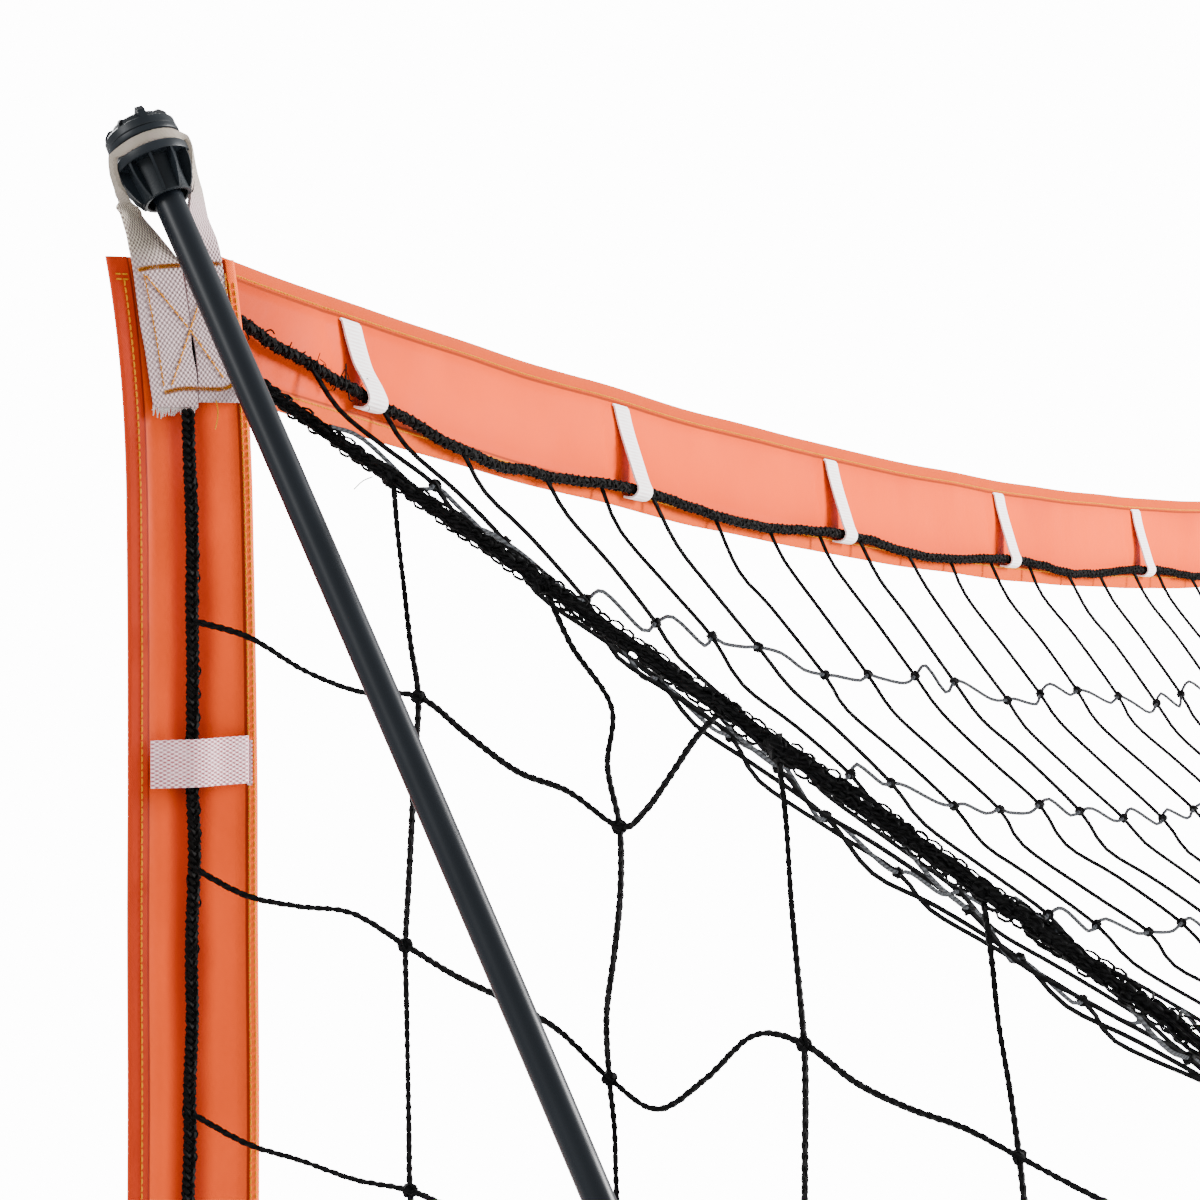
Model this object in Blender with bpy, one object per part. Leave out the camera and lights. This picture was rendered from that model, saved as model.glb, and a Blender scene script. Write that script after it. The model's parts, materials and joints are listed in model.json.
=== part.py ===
"""Portable bow-style soccer goal.

A fabric band makes the mouth: two upright bands and a sagging crossbar band, with no rigid posts.
On each side a long bowed pole stands in a socket on the ground bar, and its moulded tip holds a
webbing loop sewn to the band's top corner. A shorter pole in the same socket block holds the
net's rear corner in the same way. The ground frame is made of plug-together tubes with snap
buttons. Twine nets close the roof, the back and the sides, and ropes carry their edges.

Metres, +Z up. +X runs along the crossbar and +Y from the mouth to the back. The origin is the
bottom centre of the whole goal. Most places are worked out as x, v and z, where v is the distance
behind the mouth plane, for the side where x is positive, and then mirrored.
"""

import math

import bmesh
import bpy
from mathutils import Matrix, Vector

# Mouth of the goal
MOUTH_HALF = 1.83            # middle of the goal to the middle of an upright band
MOUTH_HEIGHT = 1.8265        # ground to the crossbar band's top edge at its ends
POST_TOP = 1.824             # ground to an upright band's top edge
BAND_SAG = 0.121             # how far the crossbar band hangs down at mid span
SAG_HALF = 1.80              # the crossbar band hangs between these two distances from the middle
SAG_POWER = 1.8              # 2 would be a parabola
BAND_WIDTH = 0.070
BAND_PANEL = 0.0010          # thickness of the panel between the hems
BAND_HEM = 0.0030            # thickness of a folded hem
TOP_HEM = 0.009              # width of the hem along a band's upper or outer edge
LOW_HEM = 0.011
POST_TURN = math.radians(38.0)   # how far an upright band is turned towards the side
POST_TWIST = math.radians(4.2)   # the turn is less than that by this at the top, and more lower down
POST_TWIST_Z = 1.62              # height where it has the plain turn
POST_TWIST_HEIGHT = 0.18         # how quickly it changes there
POST_PLAIN_Z = 0.55              # up to here the turn is plain
POST_TWISTED_Z = 0.95            # from here up it has all its twist
POST_FOOT_Z = 0.118          # lower end of an upright band
CORNER_LEAN_X = 0.0027       # how far the pole draws a band's top corner outwards
CORNER_LEAN_V = -0.0082      # and forwards
POST_V = 0.003               # an upright band's middle stands this far behind the crossbar's plane
CROSSBAR_SHORT = 0.015       # the crossbar band ends this far inside the uprights' middle
CORNER_LEAN_HEIGHT = 0.12    # over this height below the top

# Belt loops, which hold the edge ropes on the bands
LOOP_WIDTH = 0.025
LOOP_THICKNESS = 0.0014
LOOP_SPACING = 0.359
LOOP_FIRST = 0.131           # corner to the first loop's upper end
LOOP_LEAN = 0.033            # how far a crossbar loop's foot stands towards the middle
POST_LOOP_FIRST = 0.2455     # band top to the first loop on an upright
LOOPS_PER_POST = 5

# Ropes and nets
EDGE_ROPE = 0.0034           # radius of the rope along the bands
SEAM_ROPE = 0.0065           # radius of the rope bundle where side net and roof net meet
REAR_ROPE = 0.0040
BOTTOM_ROPE = 0.0035
ROPE_DROP = 0.0585           # band's top edge to the rope on it
ROPE_RISE = 0.0285           # the rope climbs this much nearer to the top edge towards a corner
ROPE_RISE_X = 1.50           # it climbs from here
ROPE_RISE_REACH = 0.29       # over this length
NET_STRAND = 0.0042
NET_THICKNESS = 0.0030
NET_CLEAR = 0.010            # rope's middle to a net's edge

# Ground frame
DEPTH = 1.20                 # mouth plane to the rear bar's axis
BAR_RADIUS = 0.0140
BAR_WALL = 0.0015
SLEEVE_RADIUS = 0.0165
ELBOW_BEND = 0.026
ELBOW_GRIP = 0.075           # straight part of an elbow on each side of its bend
COUPLER_X = 0.70
COUPLER_HALF = 0.080
FOOT_REACH = 0.060           # front of a foot block before the mouth plane
FOOT_HALF = 0.026
FOOT_HEIGHT = 0.036
STAPLE_RADIUS = 0.0035
STAPLE_HALF = 0.040
STAPLE_RISE = 0.034
BLOCK_HALF = 0.022           # half the width of a socket block
BLOCK_HEIGHT = 0.050
SOCKET_RADIUS = 0.0120
SOCKET_LENGTH = 0.110
REAR_SOCKET_STEP = 0.075     # front pole's foot to the rear pole's foot
NET_INSET = 0.028            # the side net hangs this far inside the ground bar's line
WEB_THICKNESS = 0.0022       # of the corner webbing
WEB_WIDTH = 0.0245
TIE_THICKNESS = 0.0010
TIE_WIDTH = 0.025

# Poles and their tip fittings
POLE_RADIUS = 0.00715
TIP_MOUTH = (1.8415, -0.0036, 1.8517)  # x, v, z of the front fitting's sleeve mouth
POLE_HEADING = math.radians(12.0)      # the pole's plane, turned out from straight back
POLE_LEAN = math.radians(29.2)         # from upright, at the tip
POLE_UNBEND = math.radians(2.73)       # how the lean falls, for each square metre of length
POLE_FOOT_Z = 0.056
BOW_STEPS = 12
FERRULE_RADIUS = 0.0090
FERRULE_HALF = 0.045
REAR_LEAN = math.radians(-2.0)
REAR_CORNER_V = 0.95
SEAM_START_Z = 1.778
SEAM_SLOPE = 0.56            # how far the seam falls for each metre towards the back
REAR_SAG = 0.10
ROOF_DROOP = 0.125           # the roof net hangs this far below a straight line from front to rear
ROOF_DROOP_FRONT = 0.7       # below 1, the droop is deepest nearer the front
ROOF_DROOP_EDGE = 5.5        # how sharply the droop ends at the seams
PLUG_DEPTH = 0.0215          # how far a pole reaches into its tip fitting
COLLAR_RADIUS = 0.0190
NECK_RADIUS = 0.0145
NECK_LOW = 0.0225
NECK_HIGH = 0.0300
CAP_RADIUS = 0.0182
CAP_HIGH = 0.0450

# Snap buttons
BUTTON_RADIUS = 0.0040
BUTTON_PROUD = 0.0035
BUTTON_FLANGE = 0.0055

GAP = 0.0003                 # clearance between pieces that touch
SIDES = 12                   # facets round a tube
FINE_SIDES = 14              # facets round a moulded fitting
ROPE_SIDES = 6
TURN = 2.0 * math.pi

BAR_Z = SLEEVE_RADIUS * math.cos(math.pi / SIDES)
MOUTH_Y = -(DEPTH + BAR_Z - FOOT_REACH) / 2.0
SIDE_NAMES = ((1.0, "right"), (-1.0, "left"))

COLOURS = {
    "black_steel": ((0.022, 0.022, 0.024), 0.42, 0.55),
    "black_plastic": ((0.018, 0.020, 0.024), 0.38, 0.0),
    "black_pole": ((0.020, 0.023, 0.028), 0.33, 0.0),
    "bright_steel": ((0.62, 0.62, 0.63), 0.28, 1.0),
    "orange_band": ((0.86, 0.20, 0.055), 0.42, 0.0),
    "grey_webbing": ((0.60, 0.56, 0.52), 0.85, 0.0),
    "black_rope": ((0.012, 0.012, 0.013), 0.75, 0.0),
    "black_twine": ((0.014, 0.014, 0.016), 0.70, 0.0),
}


def clear_scene():
    """Remove everything that the scene starts with."""
    for thing in list(bpy.data.objects):
        bpy.data.objects.remove(thing, do_unlink=True)


def material(name):
    """The named finish, made once."""
    made = bpy.data.materials.get(name)
    if made is None:
        colour, roughness, metallic = COLOURS[name]
        made = bpy.data.materials.new(name)
        made.use_nodes = True
        shader = made.node_tree.nodes["Principled BSDF"]
        shader.inputs["Base Color"].default_value = (*colour, 1.0)
        shader.inputs["Roughness"].default_value = roughness
        shader.inputs["Metallic"].default_value = metallic
    return made


def place(side, x, v, z):
    """World point for a place worked out on the side where x is positive."""
    return Vector((side * x, MOUTH_Y + v, z))


def piece(name, mesh_data, finish, origin=None, smooth_angle=35.0):
    """Turn a filled bmesh into one named object, with its origin at the given point."""
    bmesh.ops.recalc_face_normals(mesh_data, faces=mesh_data.faces)
    at = Vector(origin) if origin is not None else Vector((0.0, 0.0, 0.0))
    bmesh.ops.translate(mesh_data, verts=mesh_data.verts, vec=-at)
    mesh = bpy.data.meshes.new(name)
    mesh_data.to_mesh(mesh)
    mesh_data.free()
    mesh.shade_smooth()
    mesh.set_sharp_from_angle(angle=math.radians(smooth_angle))
    made = bpy.data.objects.new(name, mesh)
    made.location = at
    bpy.context.collection.objects.link(made)
    if finish:
        made.data.materials.append(material(finish))
    made.parent = bpy.data.objects.get("goal")
    return made


def as_tool(tool):
    """Keep a cutter or a part to be joined out of the finished goal."""
    tool.hide_render = True
    tool.display_type = "WIRE"
    return tool


def combine(target, tool, operation):
    """Cut the tool out of the target, or join it on."""
    step = target.modifiers.new(operation.lower() + "_" + tool.name, "BOOLEAN")
    step.operation = operation
    step.object = as_tool(tool)


def skin(mesh_data, rings, closed=False):
    """Join rings of equal count into a skin, with flat ends unless it closes on itself."""
    made = [[mesh_data.verts.new(point) for point in ring] for ring in rings]
    count = len(made[0])
    pairs = list(zip(made, made[1:]))
    if closed:
        pairs.append((made[-1], made[0]))
    for first, second in pairs:
        for k in range(count):
            after = (k + 1) % count
            mesh_data.faces.new((first[k], first[after], second[after], second[k]))
    if not closed:
        mesh_data.faces.new(list(reversed(made[0])))
        mesh_data.faces.new(made[-1])
    return made


def frames(path, up):
    """A tangent and two cross directions at each point of a path, the second kept near up."""
    found = []
    for k, point in enumerate(path):
        before = path[max(k - 1, 0)]
        after = path[min(k + 1, len(path) - 1)]
        if 0 < k < len(path) - 1:
            tangent = ((point - before).normalized() + (after - point).normalized()).normalized()
        else:
            tangent = (after - before).normalized()
        across = tangent.cross(up).normalized()
        found.append((tangent, across, across.cross(tangent)))
    return found


def circle(centre, across, over, radius, sides):
    """Points round a centre, with a flat facet facing the second direction."""
    points = []
    for k in range(sides):
        angle = TURN * (k + 0.5) / sides
        points.append(centre + radius * (math.sin(angle) * across + math.cos(angle) * over))
    return points


def tube(name, path, radius, finish, sides=SIDES, up=Vector((0.0, 0.0, 1.0))):
    """A solid rod or rope along a path."""
    mesh_data = bmesh.new()
    rings = []
    for point, (_, across, over) in zip(path, frames(path, up)):
        rings.append(circle(point, across, over, radius, sides))
    skin(mesh_data, rings)
    return piece(name, mesh_data, finish, path[len(path) // 2])


def pipe(name, path, radius, bore, finish, sides=SIDES, up=Vector((0.0, 0.0, 1.0))):
    """A hollow tube along a path, open at both ends."""
    mesh_data = bmesh.new()
    outer, inner = [], []
    for point, (_, across, over) in zip(path, frames(path, up)):
        outer.append(circle(point, across, over, radius, sides))
        inner.append(circle(point, across, over, bore, sides))
    skin(mesh_data, outer + list(reversed(inner)), closed=True)
    return piece(name, mesh_data, finish, path[len(path) // 2])


def turned(name, profile, matrix, finish, sides=FINE_SIDES):
    """A turned piece. The profile is (radius, height) round a closed loop, or from axis to axis."""
    mesh_data = bmesh.new()
    on_axis = profile[0][0] == 0.0
    rings = []
    for radius, height in profile:
        if radius == 0.0:
            rings.append([mesh_data.verts.new((0.0, 0.0, height))])
            continue
        ring = []
        for k in range(sides):
            angle = TURN * (k + 0.5) / sides
            ring.append(mesh_data.verts.new((radius * math.cos(angle), radius * math.sin(angle), height)))
        rings.append(ring)
    pairs = list(zip(rings, rings[1:]))
    if not on_axis:
        pairs.append((rings[-1], rings[0]))
    for first, second in pairs:
        for k in range(sides):
            after = (k + 1) % sides
            corners = [first[k % len(first)], first[after % len(first)]]
            corners += [second[after % len(second)], second[k % len(second)]]
            mesh_data.faces.new(list(dict.fromkeys(corners)))
    bmesh.ops.transform(mesh_data, matrix=matrix, verts=mesh_data.verts)
    return piece(name, mesh_data, finish, matrix.translation)


def box(name, low, high, finish, matrix=None):
    """A plain block between two corners, then moved by the matrix."""
    mesh_data = bmesh.new()
    bmesh.ops.create_cube(mesh_data, size=1.0)
    size = Vector(high) - Vector(low)
    middle = (Vector(high) + Vector(low)) / 2.0
    move = Matrix.Translation(middle) @ Matrix.Diagonal((*size, 1.0))
    bmesh.ops.transform(mesh_data, matrix=(matrix or Matrix()) @ move, verts=mesh_data.verts)
    return piece(name, mesh_data, finish, (matrix or Matrix()) @ middle)


def strip_rings(stations, thickness):
    """Rings of a flat strip. A station is its middle, its width direction, its face and its width."""
    rings = []
    for middle, along, face, width in stations:
        half = along.normalized() * (width / 2.0)
        rise = face.normalized() * (thickness / 2.0)
        rings.append([middle - half - rise, middle + half - rise, middle + half + rise, middle - half + rise])
    return rings


def upright_matrix(origin, axis):
    """A frame whose Z runs along the axis."""
    return Matrix.Translation(origin) @ axis.to_track_quat("Z", "Y").to_matrix().to_4x4()


# Bands


def crossbar_top(x):
    """Height of the crossbar band's top edge."""
    share = min(abs(x) / SAG_HALF, 1.0)
    return MOUTH_HEIGHT - BAND_SAG * (1.0 - share ** SAG_POWER)


def rope_drop(x):
    """How far the edge rope runs below the crossbar band's top edge."""
    share = max(0.0, (abs(x) - ROPE_RISE_X) / ROPE_RISE_REACH)
    return ROPE_DROP - ROPE_RISE * share ** 1.5


def corner_pull(z):
    """How much of the corner's lean a height on an upright band has, from 0 to 1."""
    share = max(0.0, 1.0 - (POST_TOP - z) / CORNER_LEAN_HEIGHT)
    return share * share


def post_turn(z):
    """How far an upright band is turned towards the side at a height."""
    fade = min(max((z - POST_PLAIN_Z) / (POST_TWISTED_Z - POST_PLAIN_Z), 0.0), 1.0)
    return POST_TURN + POST_TWIST * fade * math.tanh((POST_TWIST_Z - z) / POST_TWIST_HEIGHT)


def post_middle(z):
    """x and v of the middle of an upright band at a height."""
    pull = corner_pull(z)
    return MOUTH_HALF + CORNER_LEAN_X * pull, POST_V + CORNER_LEAN_V * pull


def post_point(side, w, n, z):
    """A point on an upright band: w across it towards its inner edge, n out from its rear face."""
    x, v = post_middle(z)
    turn = post_turn(z)
    x += -math.cos(turn) * w + math.sin(turn) * n
    v += math.sin(turn) * w + math.cos(turn) * n
    return place(side, x, v, z)


def band_profile(first_hem, last_hem):
    """The band's section: thick hems along both edges and a thin panel between, as (w, n)."""
    half = BAND_WIDTH / 2.0
    thick = BAND_HEM / 2.0
    thin = BAND_PANEL / 2.0
    front = [(-half, thick), (-half + first_hem, thick), (-half + first_hem, thin)]
    front += [(half - last_hem, thin), (half - last_hem, thick), (half, thick)]
    return front + [(w, -n) for w, n in reversed(front)]


ROPE_OUT = BAND_HEM / 2.0 + GAP + EDGE_ROPE          # band's middle plane to the rope's axis
LOOP_ROOT = BAND_HEM / 2.0                           # a loop's ends sink into the hems
LOOP_CLEAR = EDGE_ROPE + 2.0 * GAP + LOOP_THICKNESS / 2.0
LOOP_REACH = BAND_WIDTH / 2.0 - 0.004


def loop_shape(rope_at, last_angle, foot):
    """Middle line of a belt loop drawn out by a rope: (place across the band, distance from it)."""
    points = [(-LOOP_REACH, LOOP_ROOT)]
    first_angle = 100.0
    for k in range(4):
        angle = math.radians(first_angle + (last_angle - first_angle) * k / 3.0)
        points.append((rope_at + LOOP_CLEAR * math.cos(angle), ROPE_OUT + LOOP_CLEAR * math.sin(angle)))
    return points + [(foot, LOOP_ROOT)]


def with_normals(points):
    """Each (p, q) point of an open line, with the unit normal on the line's left."""
    found = []
    for k, point in enumerate(points):
        before = Vector(points[max(k - 1, 0)])
        after = Vector(points[min(k + 1, len(points) - 1)])
        run = (after - before).normalized()
        found.append((point[0], point[1], -run.y, run.x))
    return found


def crossbar_loops():
    """All belt loops of the crossbar, as one tool that is joined to the band."""
    mesh_data = bmesh.new()
    for side, _ in SIDE_NAMES:
        for k in range(5):
            x = SAG_HALF - LOOP_FIRST - k * LOOP_SPACING
            low_x = x - LOOP_LEAN * rope_drop(x) / BAND_WIDTH
            low_z = crossbar_rope_point(low_x).z
            rise = (crossbar_rope_point(low_x + 0.01).z - low_z) / 0.01
            slope = Vector((1.0, 0.0, side * rise))
            rope_at = crossbar_top(x) - (x - low_x) * rise - low_z - BAND_WIDTH / 2.0
            stations = []
            shape = loop_shape(rope_at, 10.0, rope_at + LOOP_CLEAR + 0.0012)
            for along, out, down, up in with_normals(shape):
                share = along / BAND_WIDTH + 0.5
                z = crossbar_top(x) - BAND_WIDTH / 2.0 - along
                middle = place(side, x, out, z) + slope * (-LOOP_LEAN * share * side)
                stations.append((middle, slope, Vector((0.0, up, -down)), LOOP_WIDTH))
            skin(mesh_data, strip_rings(stations, LOOP_THICKNESS))
    return piece("crossbar_loops", mesh_data, None)


def post_loops(side, label):
    """All belt loops of one upright band, as one tool that is joined to it."""
    mesh_data = bmesh.new()
    for k in range(LOOPS_PER_POST):
        z = POST_TOP - POST_LOOP_FIRST - k * LOOP_SPACING * 0.95
        stations = []
        for along, out, inward, rise in with_normals(loop_shape(0.0, 80.0, LOOP_REACH)):
            face = post_point(side, inward, rise, z) - post_point(side, 0.0, 0.0, z)
            stations.append((post_point(side, along, out, z), Vector((0.0, 0.0, 1.0)), face, LOOP_WIDTH))
        skin(mesh_data, strip_rings(stations, LOOP_THICKNESS))
    return piece("post_loops_" + label, mesh_data, None)


def crossbar_band():
    """The sagging band over the mouth, with its belt loops."""
    mesh_data = bmesh.new()
    rings = []
    steps = 20
    reach = MOUTH_HALF - CROSSBAR_SHORT
    for k in range(steps + 1):
        x = reach * (2.0 * k / steps - 1.0)
        top = crossbar_top(x)
        ring = []
        for w, n in band_profile(TOP_HEM, LOW_HEM):
            ring.append(Vector((x, MOUTH_Y + n, top - BAND_WIDTH / 2.0 - w)))
        rings.append(ring)
    skin(mesh_data, rings)
    band = piece("crossbar_band", mesh_data, "orange_band")
    combine(band, crossbar_loops(), "UNION")
    return band


POST_HEIGHTS = [POST_FOOT_Z, POST_PLAIN_Z, POST_TWISTED_Z, 1.30, 1.44, 1.53, 1.62]
POST_HEIGHTS += [POST_TOP - CORNER_LEAN_HEIGHT * share for share in (1.0, 0.66, 0.33, 0.0)]


def post_band(side, label):
    """One upright band, with its belt loops."""
    mesh_data = bmesh.new()
    profile = band_profile(LOW_HEM, TOP_HEM)
    skin(mesh_data, [[post_point(side, w, n, z) for w, n in profile] for z in POST_HEIGHTS])
    band = piece("post_band_" + label, mesh_data, "orange_band", post_point(side, 0.0, 0.0, 0.9))
    combine(band, post_loops(side, label), "UNION")
    return band


# Poles, tips and corner webbing


def towards_tip(lean):
    """Unit direction up along the front pole, as x, v, z."""
    flat = math.sin(lean)
    return Vector((-flat * math.sin(POLE_HEADING), -flat * math.cos(POLE_HEADING), math.cos(lean)))


def bow_path(length):
    """The front pole from its tip's sleeve mouth down, as x, v, z points."""
    points = [Vector(TIP_MOUTH)]
    step = length / BOW_STEPS
    for k in range(BOW_STEPS):
        middle = (k + 0.5) * step
        lean = POLE_LEAN - POLE_UNBEND * middle * middle
        points.append(points[-1] - towards_tip(lean) * step)
    return points


def bow_length():
    """Length of the front pole from the sleeve mouth down to its foot."""
    low, high = 1.0, 3.0
    for _ in range(40):
        middle = (low + high) / 2.0
        if bow_path(middle)[-1].z > POLE_FOOT_Z:
            low = middle
        else:
            high = middle
    return low


BOW_PATH = bow_path(bow_length())
BOW_FOOT = BOW_PATH[-1]
BOW_FOOT_AXIS = (BOW_PATH[-2] - BOW_FOOT).normalized()
SPLAY = math.atan2(BOW_FOOT.x - MOUTH_HALF, BOW_FOOT.y)   # the side bars' heading


def side_line_x(v, inset=0.0):
    """x of the side bar's line at a distance behind the mouth, or of a line inside it."""
    return MOUTH_HALF + v * math.tan(SPLAY) - inset / math.cos(SPLAY)


def seam_point(v):
    """x, v, z on the seam between roof net and side net."""
    return Vector((side_line_x(v, NET_INSET), v, SEAM_START_Z - SEAM_SLOPE * v))


REAR_CORNER = seam_point(REAR_CORNER_V)
REAR_FOOT_V = BOW_FOOT.y + REAR_SOCKET_STEP
REAR_TIP_Z = REAR_CORNER.z + 0.030
REAR_TIP_V = REAR_FOOT_V - (REAR_TIP_Z - POLE_FOOT_Z) * math.tan(REAR_LEAN)


def rear_axis():
    """Unit direction up along the rear pole, as x, v, z."""
    low = Vector((side_line_x(REAR_FOOT_V), REAR_FOOT_V, POLE_FOOT_Z))
    high = Vector((side_line_x(REAR_TIP_V), REAR_TIP_V, REAR_TIP_Z))
    return (high - low).normalized()


def world(side, local):
    """World point of an x, v, z vector."""
    return place(side, *local)


def world_axis(side, local):
    """World direction of an x, v, z direction."""
    return Vector((side * local.x, local.y, local.z))


def front_pole(side, label):
    """The bowed pole in two parts and the ferrule that joins them."""
    steps = BOW_STEPS
    path = [world(side, point) for point in BOW_PATH]
    top_end = path[0] + world_axis(side, towards_tip(POLE_LEAN)) * (PLUG_DEPTH - GAP)
    middle = path[steps // 2]
    run = (path[steps // 2 + 1] - path[steps // 2 - 1]).normalized()
    upper = [top_end] + path[: steps // 2] + [middle - run * GAP]
    lower = [middle + run * GAP] + path[steps // 2 + 1:]
    tube("front_pole_upper_" + label, upper, POLE_RADIUS, "black_pole")
    tube("front_pole_lower_" + label, lower, POLE_RADIUS, "black_pole")
    sleeve = [middle - run * FERRULE_HALF, middle, middle + run * FERRULE_HALF]
    pipe("front_pole_ferrule_" + label, sleeve, FERRULE_RADIUS, POLE_RADIUS + 2.0 * GAP, "bright_steel")


def rear_pole(side, label):
    """The shorter pole that holds the net's rear corner."""
    low = world(side, Vector((side_line_x(REAR_FOOT_V), REAR_FOOT_V, POLE_FOOT_Z)))
    high = world(side, Vector((side_line_x(REAR_TIP_V), REAR_TIP_V, REAR_TIP_Z)))
    axis = (high - low).normalized()
    tube("rear_pole_" + label, [low, (low + high) / 2.0, high + axis * (PLUG_DEPTH - GAP)],
         POLE_RADIUS, "black_pole")


def tip_fitting(where, label, side, mouth, axis):
    """The moulded collar that a pole plugs into, and the cap that keeps the webbing in its groove."""
    matrix = upright_matrix(world(side, mouth), world_axis(side, axis))
    sleeve = 0.0118
    skirt = 0.0150
    bore = POLE_RADIUS + 0.0020
    screw_hole = 0.0060
    profile = [(bore, 0.0), (sleeve, 0.0), (sleeve - 0.0004, skirt + 0.002)]
    profile += [(COLLAR_RADIUS - 0.0016, skirt + 0.002), (COLLAR_RADIUS - 0.0012, skirt)]
    profile += [(COLLAR_RADIUS, skirt), (COLLAR_RADIUS, NECK_LOW - 0.0012)]
    profile += [(COLLAR_RADIUS - 0.0012, NECK_LOW), (NECK_RADIUS, NECK_LOW), (NECK_RADIUS, NECK_HIGH)]
    profile += [(screw_hole, NECK_HIGH), (screw_hole, PLUG_DEPTH), (bore, PLUG_DEPTH)]
    collar = turned("tip_collar_" + where + "_" + label, profile, matrix, "black_plastic")
    fins = bmesh.new()
    half = 0.0009
    for k in range(6):
        turn = Matrix.Rotation(TURN * k / 6, 4, "Z")
        outline = [(sleeve - 0.0010, 0.0015), (sleeve + 0.0006, 0.0015), (COLLAR_RADIUS - 0.0030, 0.0105)]
        outline += [(COLLAR_RADIUS - 0.0022, skirt + 0.0025), (sleeve - 0.0010, skirt + 0.0025)]
        rings = []
        for across in (-half, half):
            rings.append([matrix @ turn @ Vector((radius, across, height)) for radius, height in outline])
        skin(fins, rings)
    combine(collar, piece("tip_fins_" + where + "_" + label, fins, None), "UNION")
    low = NECK_HIGH + GAP
    cap_profile = [(0.0, low - 0.0040), (screw_hole - GAP, low - 0.0040), (screw_hole - GAP, low)]
    cap_profile += [(CAP_RADIUS - 0.0014, low), (CAP_RADIUS - 0.0006, low + 0.0036)]
    cap_profile += [(CAP_RADIUS, low + 0.0040), (CAP_RADIUS - 0.0003, low + 0.0084)]
    cap_profile += [(CAP_RADIUS - 0.0030, low + 0.0104), (CAP_RADIUS - 0.0080, low + 0.0132)]
    cap_profile += [(0.0, CAP_HIGH)]
    cap = turned("tip_cap_" + where + "_" + label, cap_profile, matrix, "black_plastic")
    lugs = bmesh.new()
    for k in range(4):
        turn = Matrix.Rotation(TURN * (k + 0.5) / 4, 4, "Z")
        outline = [(0.0070, low + 0.0080), (0.0160, low + 0.0080), (0.0150, low + 0.0135)]
        outline += [(0.0070, low + 0.0155)]
        rings = []
        for across in (-0.0012, 0.0012):
            rings.append([matrix @ turn @ Vector((radius, across, height)) for radius, height in outline])
        skin(lugs, rings)
    combine(cap, piece("tip_lugs_" + where + "_" + label, lugs, None), "UNION")


def corner_webbing(name, side, neck, axis, width_way, near_way, patch):
    """Webbing that runs up one leg, round the near side of a tip's neck and down the other leg.

    patch(sign) gives the lower stations of a leg from the top down: middle, width direction,
    face direction and width. The leg turns a quarter on its way from the neck to them.
    """
    e = (width_way - axis * width_way.dot(axis)).normalized()
    g = (near_way - axis * near_way.dot(axis) - e * near_way.dot(e)).normalized()
    neck_width = NECK_HIGH - NECK_LOW - 0.0014
    radius = NECK_RADIUS + 0.0008 + WEB_THICKNESS / 2.0
    crown = []
    for k in range(7):
        angle = math.radians(66.0) * (k / 3.0 - 1.0)
        out = e * math.sin(angle) + g * math.cos(angle)
        crown.append((neck + out * radius, axis, out, neck_width))
    beside = COLLAR_RADIUS + 3.0 * GAP + WEB_THICKNESS / 2.0
    legs = {}
    for sign in (-1.0, 1.0):
        turn_over = (axis - g).normalized()
        legs[sign] = [
            (neck - g * 0.0030 + e * sign * (beside - 0.0006), turn_over, e * sign, neck_width),
            (neck - g * 0.0040 - axis * 0.0070 + e * sign * beside, -g, e * sign, 0.0090),
            (neck - g * 0.0040 - axis * 0.0160 + e * sign * beside, -g, e * sign, 0.0110),
        ] + patch(sign)
    stations = []
    for middle, along, face, width in list(reversed(legs[-1.0])) + crown + legs[1.0]:
        stations.append((world(side, middle), world_axis(side, along), world_axis(side, face), width))
    mesh_data = bmesh.new()
    skin(mesh_data, strip_rings(stations, WEB_THICKNESS))
    return piece(name, mesh_data, "grey_webbing", world(side, neck))


def front_corner_webbing(side, label):
    """The loop on the front tip and its two ends, sewn side by side on the band's corner."""
    axis = towards_tip(POLE_LEAN)
    neck = Vector(TIP_MOUTH) + axis * (NECK_LOW + NECK_HIGH) / 2.0
    turn = post_turn(POST_TOP - 0.033)
    across = Vector((-math.cos(turn), math.sin(turn), 0.0))
    out = Vector((math.sin(turn), math.cos(turn), 0.0))
    flat = BAND_HEM / 2.0 + 2.0 * GAP + WEB_THICKNESS / 2.0

    def on_band(w, n, z):
        x, v = post_middle(min(z, POST_TOP))
        return Vector((x, v, z)) + across * w + out * n

    def patch(sign):
        end_w = 0.0050 + sign * (WEB_WIDTH / 2.0 + 0.0004)
        half_turn = (across * sign - out).normalized()
        half_face = (across * sign + out).normalized()
        return [
            (on_band(-0.0018 + sign * 0.0215, 0.0010, POST_TOP + 0.0210), half_turn, half_face, 0.0130),
            (on_band(0.0018 + sign * 0.0185, 0.0027, POST_TOP + 0.0100), across * sign, out, 0.0170),
            (on_band(end_w, flat, POST_TOP - 0.0030), across * sign, out, WEB_WIDTH),
            (on_band(end_w, flat, POST_TOP - CORNER_LEAN_HEIGHT * 0.33), across * sign, out, WEB_WIDTH),
            (on_band(end_w, flat, POST_TOP - 0.0730), across * sign, out, WEB_WIDTH),
        ]

    return corner_webbing("corner_webbing_front_" + label, side, neck, axis, across, out, patch)


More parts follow.
